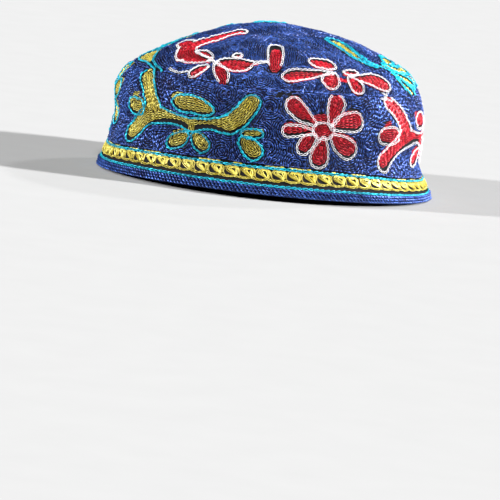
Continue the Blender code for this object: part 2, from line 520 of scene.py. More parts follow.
class Thread(Enum):
    """The embroidery's five threads."""

    BLUE = ThreadFinish("thread_blue", (0.006, 0.013, 0.1), (0.066, 0.168, 0.6), silk=0.5)
    RED = ThreadFinish("thread_red", (0.55, 0.003, 0.012), (1.0, 0.024, 0.062), silk=0.2)
    YELLOW = ThreadFinish("thread_yellow", (0.6, 0.46, 0.03), (1.0, 0.92, 0.24), silk=0.22)
    WHITE = ThreadFinish("thread_white", (0.78, 0.78, 0.84), (1.0, 1.0, 1.0), silk=0.1, shade=0.75)
    CYAN = ThreadFinish("thread_cyan", (0.0, 0.24, 0.34), (0.01, 0.74, 0.96), silk=0.25)


class Scheme(Enum):
    """The outline and the filling that the figures are sewn in."""

    RED = (Thread.WHITE, Thread.RED)
    YELLOW = (Thread.CYAN, Thread.YELLOW)


# corners of a strand's cross-section, in degrees
CORNERS = (90.0, 210.0, 330.0)
# a strand's two tips, as shares of the reach to the side and of the rise
TIP_REACH = (0.12, 0.02)
TIP_RISE = (0.05, 0.2)
# shares of the pitch, of the reach to the side and of the rise, ring by ring along a strand
LONG_LOOP = ((0.08, 0.35, 0.55), (0.36, 0.85, 0.95), (0.72, 1.0, 1.0), (1.0, 0.55, 0.55))
LOOP = ((0.14, 0.5, 0.58), (0.56, 1.0, 1.0), (0.96, 0.6, 0.52))
DASH = ((0.15, 0.8, 0.78), (0.5, 1.0, 1.0), (0.87, 0.8, 0.78))
BARB = ((0.1, 0.15, 0.6), (0.45, 0.6, 1.0), (0.85, 1.0, 0.9), (1.04, 0.6, 0.45))


@dataclass(frozen=True)
class ChainStyle:
    """Size of one kind of chain stitch, in mm: a teardrop loop of two arched strands."""

    pitch: float
    width: float
    thread: float
    height: float
    profile: tuple[Triple, ...] = LONG_LOOP
    ends: Pair = (-0.1, 1.13)
    foot: float = 0.0
    sway: float = 0.06

    @property
    def rings(self) -> int:
        """How many rings a strand has."""
        return len(self.profile)

    def strand(self, side: float) -> tuple[Array, Array, Array]:
        """One strand of a loop as rings of three points between two pointed ends.

        The centre line starts inside the loop before, climbs over its end, swings out to the side and
        comes back to the middle under the next loop. Each ring stands square to the centre line.

        Args:
            side: 1 or -1, the strand's side of the loop.

        Returns:
            Points (along, across, up), strand coordinates and heights as shares.
        """
        along, across, height = np.array(self.profile).T
        along = np.array((self.ends[0], *along, self.ends[1])) * self.pitch
        across = np.array((TIP_REACH[0], *across, TIP_REACH[1])) * (0.5 * self.width - self.thread) * side
        rise = np.array((TIP_RISE[0], *height, TIP_RISE[1]))
        centre = np.stack([along, across, self.foot + self.thread + rise * (self.height - 2 * self.thread)], axis=-1)
        tangent = unit(np.gradient(centre, axis=0))
        sideways = unit(np.cross(np.array([0.0, 0.0, 1.0]), tangent))
        upward = np.cross(tangent, sideways)
        turns = np.radians(CORNERS)
        rings = centre[1:-1, None] + self.thread * spokes(turns, sideways[1:-1], upward[1:-1])
        points = np.concatenate([centre[:1], rings.reshape(-1, 3), centre[-1:]])
        run = np.concatenate([along[:1], np.repeat(along[1:-1], 3), along[-1:]])
        tip = np.zeros((1, 2))
        section = np.concatenate([tip, np.tile(compass(turns), (len(rings), 1)), tip]) * self.thread
        own = np.concatenate([(run + 3.0 * side)[:, None], section], axis=-1)
        share = np.clip(points[:, 2] / (self.foot + self.height), 0.0, 1.0)
        return points, own, share

    def strand_faces(self) -> Array:
        """Triangles of one strand: fans at the two ends and split squares between the rings.

        Returns:
            Point numbers, three to a row.
        """
        faces = []
        for k in range(3):
            after = (k + 1) % 3
            faces.append((0, 1 + k, 1 + after))
            for ring in range(self.rings - 1):
                here, ahead = 1 + 3 * ring, 4 + 3 * ring
                faces.append((here + k, ahead + k, ahead + after))
                faces.append((here + k, ahead + after, here + after))
            last = 1 + 3 * (self.rings - 1)
            faces.append((last + k, last + 3, last + after))
        return np.array(faces)


GROUND = ChainStyle(pitch=2.8, width=0.74, thread=0.24, height=1.4, profile=DASH, ends=(-0.02, 1.02), sway=0.03)
FILLING = ChainStyle(pitch=2.8, width=1.66, thread=0.21, height=1.35, profile=LOOP, foot=0.05, sway=0.08)
OUTLINE = ChainStyle(pitch=2.45, width=1.36, thread=0.165, height=1.1, foot=0.75)
TIGHT_OUTLINE = ChainStyle(pitch=2.5, width=1.42, thread=0.29, height=1.3, profile=BARB, foot=0.75, sway=0.1)
BORDER_LINE = ChainStyle(pitch=3.2, width=1.85, thread=0.36, height=1.4, profile=BARB, sway=0.03)
HEM_BRAID = ChainStyle(pitch=3.6, width=1.1, thread=0.46, height=2.0, profile=DASH, ends=(0.0, 1.0), sway=0.02)
ROSETTE = ChainStyle(pitch=2.4, width=1.4, thread=0.24, height=1.3)
WISP = ChainStyle(pitch=2.6, width=0.8, thread=0.22, height=0.8, profile=LOOP)


@dataclass
class Stitches:
    """Stitches laid in a panel's flat coordinates: where each starts and the step to the next."""

    start: Array
    step: Array
    tone: Array

    @staticmethod
    def none() -> "Stitches":
        """No stitches."""
        return Stitches(np.zeros((0, 2)), np.zeros((0, 2)), np.zeros(0))

    @staticmethod
    def joined(runs: list["Stitches"]) -> "Stitches":
        """All the runs as one."""
        if not runs:
            return Stitches.none()
        parts = [np.concatenate([getattr(run, key) for run in runs]) for key in ("start", "step", "tone")]
        return Stitches(*parts)

    def kept(self, mask: Array) -> "Stitches":
        """The stitches where the mask is true."""
        return Stitches(self.start[mask], self.step[mask], self.tone[mask])

    @property
    def middle(self) -> Array:
        """The middle of each stitch."""
        return self.start + 0.5 * self.step

    def __len__(self) -> int:
        """How many stitches there are."""
        return len(self.start)


# the shortest row worth sewing and the unevenness of its stitches, as shares of the pitch
SHORTEST_ROW = 0.3
UNEVEN = 0.07
# middle and spread of a row's tone
ROW_TONE = (0.5, 0.1)


def sew_along(curve: Array, pitch: float, rng: np.random.Generator, closed: bool = False) -> Stitches:
    """Lays stitches end to end along a curve, at equal steps of its length near the pitch.

    Args:
        curve: points of the curve, in order.
        pitch: wanted stitch length.
        rng: source of the row's tone.
        closed: whether the curve runs back to its start.

    Returns:
        The stitches.
    """
    if closed:
        curve = np.concatenate([curve, curve[:1]])
    lengths = np.hypot(*np.diff(curve, axis=0).T)
    run = np.concatenate([[0.0], np.cumsum(lengths)])
    if run[-1] < SHORTEST_ROW * pitch:
        return Stitches.none()
    count = max(1, int(round(run[-1] / pitch)))
    marks = np.linspace(0.0, run[-1], count + 1)
    marks[1:-1] += rng.uniform(-UNEVEN, UNEVEN, count - 1) * pitch
    points = np.stack([np.interp(marks, run, curve[:, axis]) for axis in (0, 1)], axis=-1)
    return Stitches(points[:-1], np.diff(points, axis=0), np.full(count, rng.normal(*ROW_TONE)))


# points along a stroke between two rows, round its end caps, and round a single disc
STROKE_STEPS = 12
CAP_POINTS = 18
DISC_POINTS = 48


@dataclass(frozen=True)
class Stroke:
    """A rounded shape swept along a short line: rows of x, y and half width in mm."""

    rows: tuple[Triple, ...]

    def swept(self) -> tuple[Array, Array]:
        """The line and half widths in close steps, smoothed with Catmull-Rom.

        Returns:
            Centres and half widths.
        """
        rows = np.array(self.rows, dtype=float)
        if len(rows) == 1:
            return rows[:, :2], rows[:, 2]
        places = np.linspace(0.0, len(rows) - 1.0, (len(rows) - 1) * STROKE_STEPS + 1)
        path = catmull_rom(with_ends(rows), places)
        return path[:, :2], np.maximum(path[:, 2], 0.0)

    def rim(self) -> tuple[Array, Array, Array]:
        """The shape's edge as base points, half widths and unit vectors out.

        A disc that grows by g for each mm along the line touches the edge at -g along it and at the
        root of 1 - g^2 across it. Round caps join the two sides.

        Returns:
            Base points, half widths and unit vectors, all the way round.
        """
        centres, radii = self.swept()
        if len(centres) == 1:
            angle = np.linspace(0.0, TURN, DISC_POINTS, endpoint=False)
            return np.repeat(centres, DISC_POINTS, axis=0), np.repeat(radii, DISC_POINTS), compass(angle)
        heading = np.gradient(centres, axis=0)
        pace = np.maximum(np.linalg.norm(heading, axis=-1), 1e-6)
        bearing = np.arctan2(heading[:, 1], heading[:, 0])
        lean = np.arccos(np.clip(-np.gradient(radii) / pace, -0.95, 0.95))
        left, right = bearing + lean, bearing - lean
        caps = np.linspace(0.0, 1.0, CAP_POINTS)
        far = left[-1] + (right[-1] - left[-1]) * caps
        near = right[0] + (left[0] - TURN - right[0]) * caps
        angle = np.concatenate([left, far[1:-1], right[::-1], near[1:-1]])
        within = CAP_POINTS - 2
        source = np.concatenate([np.arange(len(radii)), np.full(within, len(radii) - 1)])
        source = np.concatenate([source, np.arange(len(radii))[::-1], np.zeros(within, dtype=int)])
        return centres[source], radii[source], compass(angle)

    def edge(self, offset: float) -> Array:
        """The edge moved out by an offset, or in by a negative one."""
        base, radius, outward = self.rim()
        return base + np.maximum(radius + offset, 0.0)[:, None] * outward

    def changed(self, turn: float, move: Pair, grow: float = 0.0) -> "Stroke":
        """The stroke turned about the origin, moved and widened.

        Args:
            turn: angle in degrees.
            move: the step in mm.
            grow: what is added to each half width.

        Returns:
            The changed stroke.
        """
        cosine, sine = math.cos(math.radians(turn)), math.sin(math.radians(turn))
        rows = tuple(
            (x * cosine - y * sine + move[0], x * sine + y * cosine + move[1], max(r + grow, 0.0))
            for x, y, r in self.rows
        )
        return replace(self, rows=rows)


@dataclass
class DiscField:
    """Distance to the nearest edge of many discs, less than nothing inside them."""

    centres: Array
    radii: Array
    period: float = 0.0
    batch: int = 4000

    @staticmethod
    def of(strokes: Sequence[Stroke], period: float = 0.0) -> "DiscField":
        """The field of all the discs that some strokes sweep."""
        if not strokes:
            return DiscField(np.zeros((1, 2)) + 1e5, np.zeros(1), 0.0)
        swept = [stroke.swept() for stroke in strokes]
        return DiscField(np.concatenate([s[0] for s in swept]), np.concatenate([s[1] for s in swept]), period)

    def distance(self, points: Array) -> Array:
        """The least of distance to a centre less its radius, taken round the cap where there is a period.

        Args:
            points: places in flat coordinates.

        Returns:
            One distance for each place.
        """
        out = np.empty(len(points))
        for first in range(0, len(points), self.batch):
            part = points[first : first + self.batch]
            across = into_turn(part[:, None, 0] - self.centres[None, :, 0], self.period)
            gap = np.hypot(across, part[:, None, 1] - self.centres[None, :, 1]) - self.radii[None, :]
            out[first : first + self.batch] = gap.min(axis=1)
        return out


@dataclass(frozen=True)
class Motif:
    """One figure of the pattern.

    Attributes:
        outlined: strokes with an outline round them.
        scheme: the figure's two threads.
        extra: strokes of filling alone, beside the outlined ones.
        inner: the filling's own strokes, where it doesn't follow the outlined ones.
        lines: bare lines of chain.
        broken: places where the outline is left out.
        doubled: how far inside the outline a second row runs, or nothing.
        crossing: how deep an outline may run inside another stroke.
        inset: how much narrower than the outlined strokes the filling is on each side.
        slip: how far the filling sits off its outline.
    """

    outlined: tuple[Stroke, ...]
    scheme: Scheme
    extra: tuple[Stroke, ...] = ()
    inner: tuple[Stroke, ...] = ()
    lines: tuple[Stroke, ...] = ()
    broken: tuple[Stroke, ...] = ()
    doubled: float = 0.0
    crossing: float = 0.4
    inset: float = 0.45
    slip: Pair = (0.0, 1.1)

    def changed(self, turn: float, move: Pair) -> "Motif":
        """The figure turned about the origin and moved, with its slip turned too."""
        parts = {
            key: tuple(stroke.changed(turn, move) for stroke in getattr(self, key))
            for key in ("outlined", "extra", "inner", "lines", "broken")
        }
        slip = Stroke(((*self.slip, 0.0),)).changed(turn, (0.0, 0.0)).rows[0][:2]
        return replace(self, slip=slip, **parts)

    def filled(self) -> list[Stroke]:
        """The strokes of the filling: given ones, or the outlined ones narrowed and slipped to one side."""
        inner = self.inner or tuple(s.changed(0.0, self.slip, -self.inset) for s in self.outlined)
        return [*inner, *(s.changed(0.0, self.slip) for s in self.extra)]


def petals(*rows: tuple[Triple, ...]) -> tuple[Stroke, ...]:
    """Strokes from their rows."""
    return tuple(Stroke(row) for row in rows)


class Pattern:
    """The figures of the pattern, in mm from each figure's own middle."""

    flower = petals(
        ((-5.2, 3.6, 1.4), (-7.5, 5.1, 1.9), (-12.2, 7.9, 3.9), (-17.3, 12.4, 4.9)),
        ((3.2, 3.8, 1.2), (4.4, 5.4, 1.8), (5.6, 10.2, 4.0), (7.6, 15.9, 5.0)),
        ((4.4, 2.3, 1.2), (5.9, 3.0, 1.7), (10.4, 4.9, 4.1), (18.3, 6.0, 5.3)),
        ((5.0, -2.6, 1.4), (6.7, -3.6, 2.0), (10.9, -6.2, 4.5), (16.3, -9.3, 5.4)),
        ((0.3, -4.0, 1.4), (0.3, -6.5, 2.0), (-0.2, -10.2, 4.2), (-0.9, -15.0, 5.2)),
        ((-4.4, -3.2, 1.4), (-5.9, -4.3, 1.9), (-8.2, -6.5, 4.0), (-10.1, -9.8, 3.8)),
        ((-6.0, -0.7, 1.0), (-8.1, -0.9, 1.4), (-13.9, -0.7, 2.9), (-19.5, -1.3, 3.3)),
        ((-1.8, 0.2, 4.4), (1.9, 0.2, 4.4)),
    )
    flower_heart = petals(((-4.6, 4.2, 3.2), (0.4, 4.6, 3.2)), ((0.4, -0.8, 6.6),))
    branch = petals(
        ((-24.0, 3.0, 6.0), (-27.3, 8.2, 4.9), (-31.0, 13.4, 4.5), (-35.5, 17.5, 4.6), (-38.8, 19.8, 4.6)),
        ((-25.0, -0.5, 5.2), (-30.7, -3.2, 5.1), (-36.2, -8.2, 5.4), (-40.6, -12.8, 5.7)),
        ((-24.0, -0.4, 5.0), (-16.2, -0.2, 4.2), (-9.7, -0.5, 3.0), (-3.8, -0.9, 2.8), (2.5, -2.4, 3.6),
         (8.2, -1.3, 3.1), (15.5, -0.2, 3.0), (21.0, 0.1, 4.2), (26.0, 1.1, 5.3)),
        ((25.1, 0.6, 5.3), (30.5, 5.1, 5.4), (34.4, 11.0, 5.2), (36.0, 13.6, 5.0)),
    )
    branch_inner = petals(
        ((-24.0, 4.2, 5.2), (-27.5, 9.2, 4.3), (-31.4, 14.2, 4.1), (-35.8, 18.4, 4.1), (-39.0, 20.7, 4.0)),
        ((-25.0, 0.8, 4.8), (-30.7, -1.8, 4.6), (-36.4, -6.7, 4.8), (-40.8, -11.2, 4.8)),
        ((-24.0, 0.8, 4.6), (-16.2, 1.2, 3.0), (-9.7, 1.1, 2.0), (-3.8, 0.5, 1.6), (2.5, -0.5, 2.1), (8.2, 0.5, 1.8),
         (15.5, 1.2, 1.8), (21.0, 1.7, 3.0), (26.0, 2.2, 4.4)),
        ((24.9, 1.6, 4.4), (30.1, 6.2, 4.8), (34.0, 12.2, 4.6), (35.6, 15.0, 4.4)),
        ((2.5, -1.0, 2.0), (2.9, -4.8, 2.2), (3.0, -7.0, 1.3)),
    )
    branch_cross = petals(((-42.0, 23.5, 0.1), (-35.5, 20.5, 0.1)), ((-45.5, 22.5, 0.1), (-40.5, 21.6, 0.1)))
    branch_leaves = petals(
        ((0.7, -7.9, 1.6), (-3.2, -11.2, 3.9), (-8.2, -13.1, 3.9)),
        ((5.4, -7.5, 1.6), (8.6, -10.4, 4.3), (11.8, -12.4, 4.0)),
        ((33.7, -2.8, 2.0), (38.1, -2.5, 2.7), (42.4, -2.1, 2.0)),
        ((33.4, -6.3, 2.0), (36.7, -9.2, 4.6), (40.0, -12.0, 4.9)),
        ((-44.0, 1.6, 4.4), (-39.8, 1.7, 4.8), (-36.0, 1.8, 4.4)),
        ((-8.4, 9.1, 1.9), (-3.5, 8.5, 4.4), (3.2, 8.6, 4.5), (9.7, 7.6, 3.9), (14.0, 6.7, 2.4)),
    )
    branch_crumbs = petals(
        ((-9.8, 10.8, 1.6), (-6.6, 11.6, 1.5)), ((-42.8, 6.4, 1.6), (-40.2, 7.2, 1.5)),
        ((-8.8, -9.6, 1.2), (-3.4, -7.8, 1.2)),
    )
    spray = petals(
        ((1.9, -4.5, 1.6), (5.0, -11.8, 3.7), (6.8, -17.0, 3.2), (7.5, -21.5, 1.2)),
        ((-3.0, -4.5, 1.3), (-7.0, -6.0, 3.5), (-10.2, -7.5, 3.8)),
        ((3.0, -1.5, 1.5), (8.0, -4.1, 4.3), (14.8, -7.5, 5.5), (19.1, -7.8, 3.9), (22.3, -6.5, 1.5), (27.0, -5.9, 0.8),
         (32.1, -5.5, 0.5)),
        ((12.2, 2.2, 1.5), (14.9, 1.9, 2.2)),
        ((-11.0, 15.0, 0.9), (-6.0, 10.0, 2.3), (-1.5, 4.0, 1.5)),
        ((-2.0, 0.5, 1.0), (-10.2, 5.4, 3.8), (-16.7, 14.1, 6.0), (-18.2, 24.0, 5.6)),
        ((-18.0, 26.5, 6.0), (-10.5, 29.5, 6.0), (-1.5, 31.0, 5.0), (6.3, 33.5, 4.0), (15.0, 34.0, 3.2)),
        ((-17.8, 30.0, 5.5), (-20.8, 36.0, 4.2), (-22.8, 41.0, 2.4)),
        ((-15.5, 12.0, 5.0), (-20.0, 11.2, 2.4)),
    )
    spray_tail = petals(
        ((-13.9, -5.0, 0.1), (-16.5, -4.2, 0.1), (-19.8, -2.8, 0.1), (-23.2, 0.2, 0.1), (-25.8, 4.6, 0.1)),
        ((-3.8, 1.2, 0.1), (0.0, -0.4, 0.1), (3.6, -1.4, 0.1)),
        ((1.4, -4.6, 0.1), (0.2, -1.6, 0.1), (-1.2, 2.2, 0.1)),
    )
    spray_bud = petals(((35.7, -5.5, 3.9), (35.5, 4.5, 4.3), (35.1, 12.0, 3.9)))
    spray_bud_gap = petals(((35.7, -10.2, 3.9),))
    spray_bud_inner = petals(((36.0, -8.6, 3.5), (35.8, 4.0, 3.2), (35.6, 9.0, 1.8)))
    bloom = petals(
        ((-9.8, 4.4, 5.2), (-14.6, 3.3, 5.4)),
        ((-5.6, -2.6, 0.8), (-12.7, -6.2, 2.0), (-18.9, -9.6, 3.2), (-24.6, -12.6, 4.9), (-28.8, -14.8, 5.0)),
        ((-4.6, -4.3, 2.4), (-6.0, -9.0, 4.9), (-6.0, -11.2, 4.9)),
        ((4.6, 1.0, 1.8), (8.2, -2.8, 4.6), (9.8, -5.8, 4.3)),
        ((5.0, 1.6, 1.0), (12.4, 6.5, 3.5), (17.9, 9.8, 5.8), (22.4, 12.2, 6.4)),
        ((0.2, 2.4, 0.8), (3.2, 5.4, 2.3), (6.4, 8.2, 1.7)),
    )
    bloom_heart = petals(((-1.7, -3.7, 2.0), (3.4, -2.2, 1.6)))
    bloom_lines = petals(((24.8, 4.2, 0.1), (28.9, 4.9, 0.1)), ((28.0, 9.4, 0.1), (27.6, 4.2, 0.1)))
    feather = petals(
        ((-8.0, -9.0, 1.0), (-13.6, -10.5, 2.0), (-19.4, -8.9, 3.2), (-24.6, -5.2, 4.8), (-29.4, 0.2, 6.0),
         (-32.0, 4.5, 6.0)),
        ((-6.0, -3.0, 1.6), (-1.5, 3.5, 4.2), (3.0, 8.5, 4.6)),
        ((1.0, -4.0, 1.6), (8.0, 2.0, 4.4), (15.0, 7.0, 4.6)),
        ((-4.0, 2.0, 1.6), (-5.0, 12.0, 4.6), (-5.0, 20.0, 4.8)),
        ((2.0, 5.0, 1.6), (6.0, 16.0, 4.4), (7.0, 25.0, 4.4)),
        ((5.0, -5.5, 1.6), (13.0, -4.0, 3.8), (20.0, -2.0, 3.6)),
    )
    feather_lines = petals(((-12.7, -10.4, 0.1), (-6.3, -7.1, 0.1), (-1.0, -5.0, 0.1)))
    plume = petals(
        ((8.7, -46.0, 0.5), (4.5, -39.0, 0.9), (1.5, -30.0, 1.1), (-0.8, -20.0, 1.8), (-1.8, -12.0, 3.8),
         (-2.5, -2.0, 5.5), (-2.5, 6.0, 5.5)),
    )
    plume_inner = petals(((-0.8, -18.5, 1.3), (-1.8, -12.5, 3.2), (-2.5, -2.5, 4.9), (-2.5, 5.5, 4.9)))
    star = petals(
        ((0.0, -2.5, 1.2), (0.0, -7.5, 2.8)),
        ((2.4, -0.8, 1.2), (7.1, -2.3, 2.8)),
        ((1.5, 2.0, 1.2), (4.4, 6.0, 2.8)),
        ((-1.5, 2.0, 1.2), (-4.4, 6.0, 2.8)),
        ((-2.4, -0.8, 1.2), (-7.1, -2.3, 2.8)),
    )
    bud = petals(((0.0, -7.0, 2.0), (0.0, 0.0, 4.2), (0.0, 6.0, 2.4)))


# where a stitch is ticked off along its length, the grid's cell and border in mm, a single stitch's
# length in pitches, and the middle and spread of its tone
PATCH_MARKS = (0.1, 0.37, 0.63, 0.9)
PATCH_CELL = 0.3
PATCH_BORDER = 3.0
PATCH_LENGTHS = (0.7, 0.95)
PATCH_TONE = (0.4, 0.15)
# lengths in mm and turns in radians of the ground's wavering
WAVERS = ((6.1, 0.4), (9.7, 1.9), (15.3, 4.0))


@dataclass
class Panel:
    """A panel of cloth: its flat coordinates, its figures and the rows of ground stitch round them.

    Lengths are in mm. A slack is the share of a row's width by which a row may miss its depth, a gap
    is half the widest bare gap that stays, and a margin is clear cloth along the panel's edge.

    Attributes:
        first_row: how far the first ground row lies from its source, a figure or a swirl.
        head_start: rows by which a swirl is ahead of a figure.
        unsteady: how far a ground row wavers.
        reach: how far ground rows spread from their source.
        period: length once round the cap, or nothing.
        bare: x, y and radius of spots where the cloth shows, whose edges are uneven by the fray.
        core: half width of a stroke that takes no more filling rows.
        spine_depth: how deep in a filling a row down a stroke's middle has to lie.
        fill_inset: how far inside a filling its single stitches keep.
        fill_clear: how far outside a filling the ground keeps.
        eye: radius of a swirl's middle.
        misses: rows in turn with nothing kept that end a source's rows.
    """

    name: str
    cap: CapShape
    motifs: list[Motif]
    swirls: tuple[Pair, ...]
    seed: int
    first_row: float = 1.45
    row_step: float = 1.22
    fill_step: float = 1.6
    head_start: float = 2.0
    unsteady: float = 0.12
    reach: float = 60.0
    period: float = 0.0
    bare: tuple[Triple, ...] = ()
    figure_margin: float = 0.8
    ground_margin: float = 0.9
    seam_margin: float = 0.5
    core: float = 0.6
    fill_inset: float = 0.45
    fill_clear: float = 0.6
    fill_slack: float = 0.3
    spine_depth: float = 0.3
    spine_slack: float = 0.35
    fill_gap: float = 0.98
    ground_gap: float = 0.82
    ground_slack: float = 0.36
    outline_slack: float = 0.45
    edge_slack: float = 0.4
    fray: float = 0.4
    eye: float = 0.75
    misses: int = 3

    def to_cap(self, points: Array) -> tuple[Array, Array]:
        """Azimuth and arc of flat points."""
        raise NotImplementedError

    def within(self, points: Array, margin: float) -> Array:
        """Whether flat points lie inside the panel by a margin."""
        raise NotImplementedError

    def edges(self) -> list[Array]:
        """Curves along the panel's edges, each followed by one ground row."""
        raise NotImplementedError

    def edge_gap(self, points: Array) -> Array:
        """Distance from the nearest edge that rows follow."""
        raise NotImplementedError

    def outlines(self, rng: np.random.Generator) -> dict[Thread, Stitches]:
        """One row of chain round each figure's strokes, cut where it runs deep inside another stroke.

        A second row inside it is cut where it lies deeper in the figure than 1.2 times its own depth.

        Args:
            rng: source of small differences.

        Returns:
            Stitches by thread.
        """
        runs: dict[Thread, list[Stitches]] = {}

        def lay(motif: Motif, curve: Array, closed: bool, *limits: tuple[Sequence[Stroke], float]) -> None:
            """Sews along a curve and keeps what lies further from each limit's strokes than it says."""
            row = sew_along(curve, OUTLINE.pitch, rng, closed=closed)
            keep = self.within(row.middle, self.figure_margin)
            for strokes, least in limits:
                keep &= DiscField.of(strokes, self.period).distance(row.middle) > least
            runs.setdefault(motif.scheme.value[0], []).append(row.kept(keep))

        for motif in self.motifs:
            for index, stroke in enumerate(motif.outlined):
                others = [s for i, s in enumerate(motif.outlined) if i != index]
                lay(motif, stroke.edge(0.0), True, (others, -motif.crossing), (motif.broken, 0.0))
                if motif.doubled:
                    lay(motif, stroke.edge(-motif.doubled), True, (motif.outlined, -1.2 * motif.doubled))
            for stroke in motif.lines:
                lay(motif, stroke.swept()[0], False)
        return {thread: Stitches.joined(parts) for thread, parts in runs.items()}

    def fillings(self, rng: np.random.Generator) -> dict[Thread, Stitches]:
        """Rows of chain inside each figure, each at an even depth from the figure's joined edge.

        Args:
            rng: source of small differences.

        Returns:
            Stitches by thread.
        """
        runs: dict[Thread, list[Stitches]] = {}
        for motif in self.motifs:
            strokes = motif.filled()
            whole = DiscField.of(strokes, self.period)
            rows: list[Stitches] = []
            for stroke in strokes:
                centres, radii = stroke.swept()
                for depth in np.arange(0.5 * self.fill_step, radii.max() - self.core, self.fill_step):
                    row = sew_along(stroke.edge(-depth), FILLING.pitch, rng, closed=True)
                    keep = self.within(row.middle, self.figure_margin)
                    keep &= np.abs(whole.distance(row.middle) + depth) < self.fill_slack * self.fill_step
                    rows.append(row.kept(keep))
                if len(centres) > 1:
                    spine = sew_along(centres, FILLING.pitch, rng)
                    rest = -whole.distance(spine.middle)
                    spare = rest - np.floor(rest / self.fill_step) * self.fill_step
                    keep = self.within(spine.middle, self.figure_margin)
                    keep &= (rest > self.spine_depth) & (spare < self.spine_slack * self.fill_step)
                    rows.append(spine.kept(keep))

            def inside(points: Array) -> Array:
                """Places well inside this figure's filling."""
                return (whole.distance(points) < -self.fill_inset) & self.within(points, self.figure_margin)

            laid = self.patched(Stitches.joined(rows), inside, FILLING.pitch, self.fill_gap, rng)
            runs.setdefault(motif.scheme.value[1], []).append(laid)
        return {thread: Stitches.joined(parts) for thread, parts in runs.items()}

    def patched(self, laid: Stitches, inside: Callable[[Array], Array], pitch: float, reach: float,
                rng: np.random.Generator) -> Stitches:
        """Adds single stitches where the cloth would show between rows that meet.

        The panel is ticked off on a fine grid wherever a stitch lies within reach. Each empty place
        that is left takes a stitch with the heading of its nearest neighbour, until none is left.

        Args:
            laid: the stitches so far.
            inside: tells which places may be sewn.
            pitch: stitch length.
            reach: half the widest bare gap.
            rng: source of the order and the tones.

        Returns:
            The old stitches with the new ones.
        """
        shares = np.array(PATCH_MARKS)[:, None, None]
        marks = self.wrapped((laid.start + shares * laid.step).reshape(-1, 2))
        low = marks.min(axis=0) - PATCH_BORDER
        size = np.ceil((marks.max(axis=0) + PATCH_BORDER - low) / PATCH_CELL).astype(int)
        taken = np.zeros(size, dtype=bool)
        spread = np.arange(-math.ceil(reach / PATCH_CELL), math.ceil(reach / PATCH_CELL) + 1)
        i, j = np.floor((marks - low) / PATCH_CELL).astype(int).T
        for a in spread:
            for b in spread[np.hypot(a, spread) * PATCH_CELL <= reach]:
                taken[np.clip(i + a, 0, size[0] - 1), np.clip(j + b, 0, size[1] - 1)] = True
        empty = low + (np.argwhere(~taken) + 0.5) * PATCH_CELL
        empty = rng.permutation(empty[inside(empty)])
        middles, headings = self.wrapped(laid.middle), laid.step / np.hypot(*laid.step.T)[:, None]
        places, steps = [], []
        while len(empty):
            here = empty[0]
            nearest = np.argmin(np.hypot(*(middles - here).T))
            step = headings[nearest] * pitch * rng.uniform(*PATCH_LENGTHS)
            places.append(here - 0.5 * step)
            steps.append(step)
            run = np.clip((empty - places[-1]) @ step / (step @ step), 0.0, 1.0)
            empty = empty[np.hypot(*(empty - places[-1] - run[:, None] * step).T) > reach * 0.95]
        if not places:
            return laid
        tone = np.clip(rng.normal(*PATCH_TONE, len(places)), 0.0, 1.0)
        return Stitches.joined([laid, Stitches(np.array(places), np.array(steps), tone)])

    def wrapped(self, points: Array) -> Array:
        """Points with x taken back into one turn of the cap, where the panel runs right round."""
        return np.stack([into_turn(points[..., 0], self.period), points[..., 1]], axis=-1)

    def ground(self, rng: np.random.Generator) -> Stitches:
        """Rows that follow the figures, the swirls and the edges, each kept where its own source is nearest.

        A row lies at first_row + k * row_step from its source. It is kept where the distance to
        the nearest of all the sources is that same value, within part of a row.

        Args:
            rng: source of small differences.

        Returns:
            The ground stitches.
        """
        figures = [s for motif in self.motifs for s in (*motif.outlined, *motif.lines)]
        fills = DiscField.of([s for motif in self.motifs for s in motif.filled()], self.period)
        outlines = DiscField.of(figures, self.period)
        start = self.first_row - self.head_start * self.row_step
        seeds = [Stroke(((x, y, self.eye - start),)) for x, y in self.swirls]
        everything = DiscField.of(figures + seeds, self.period)
        band = self.first_row + 0.5 * self.row_step

        def open_cloth(points: Array) -> Array:
            """Places that no figure, panel edge or bare patch takes."""
            free = self.within(points, self.ground_margin)
            free[free] &= outlines.distance(points[free]) > self.first_row - self.outline_slack * self.row_step
            free[free] &= fills.distance(points[free]) > self.fill_clear
            if self.bare:
                patches = np.array(self.bare)
                gap = DiscField(patches[:, :2], patches[:, 2], self.period).distance(points)
                free &= gap > rng.normal(0.0, self.fray, len(points))
            return free

        runs: list[Stitches] = []
        for stroke, offset in [(s, self.first_row) for s in figures] + [(s, start) for s in seeds]:
            misses = 0
            while offset < self.reach and misses < self.misses:
                curve = stroke.edge(offset)
                if rng.random() < 0.5:
                    curve = curve[::-1]
                row = sew_along(curve, GROUND.pitch, rng, closed=True)
                keep = open_cloth(row.middle)
                keep &= self.edge_gap(row.middle) > band - self.edge_slack * self.row_step
                slack = self.ground_slack * self.row_step
                keep[keep] &= np.abs(everything.distance(row.middle[keep]) - offset) < slack
                runs.append(row.kept(keep))
                misses = 0 if keep.any() else misses + 1
                offset += self.row_step
        for curve in self.edges():
            row = sew_along(curve, GROUND.pitch, rng, closed=self.period == 0.0)
            runs.append(row.kept(open_cloth(row.middle)))
        return self.wavering(self.patched(Stitches.joined(runs), open_cloth, GROUND.pitch, self.ground_gap, rng))

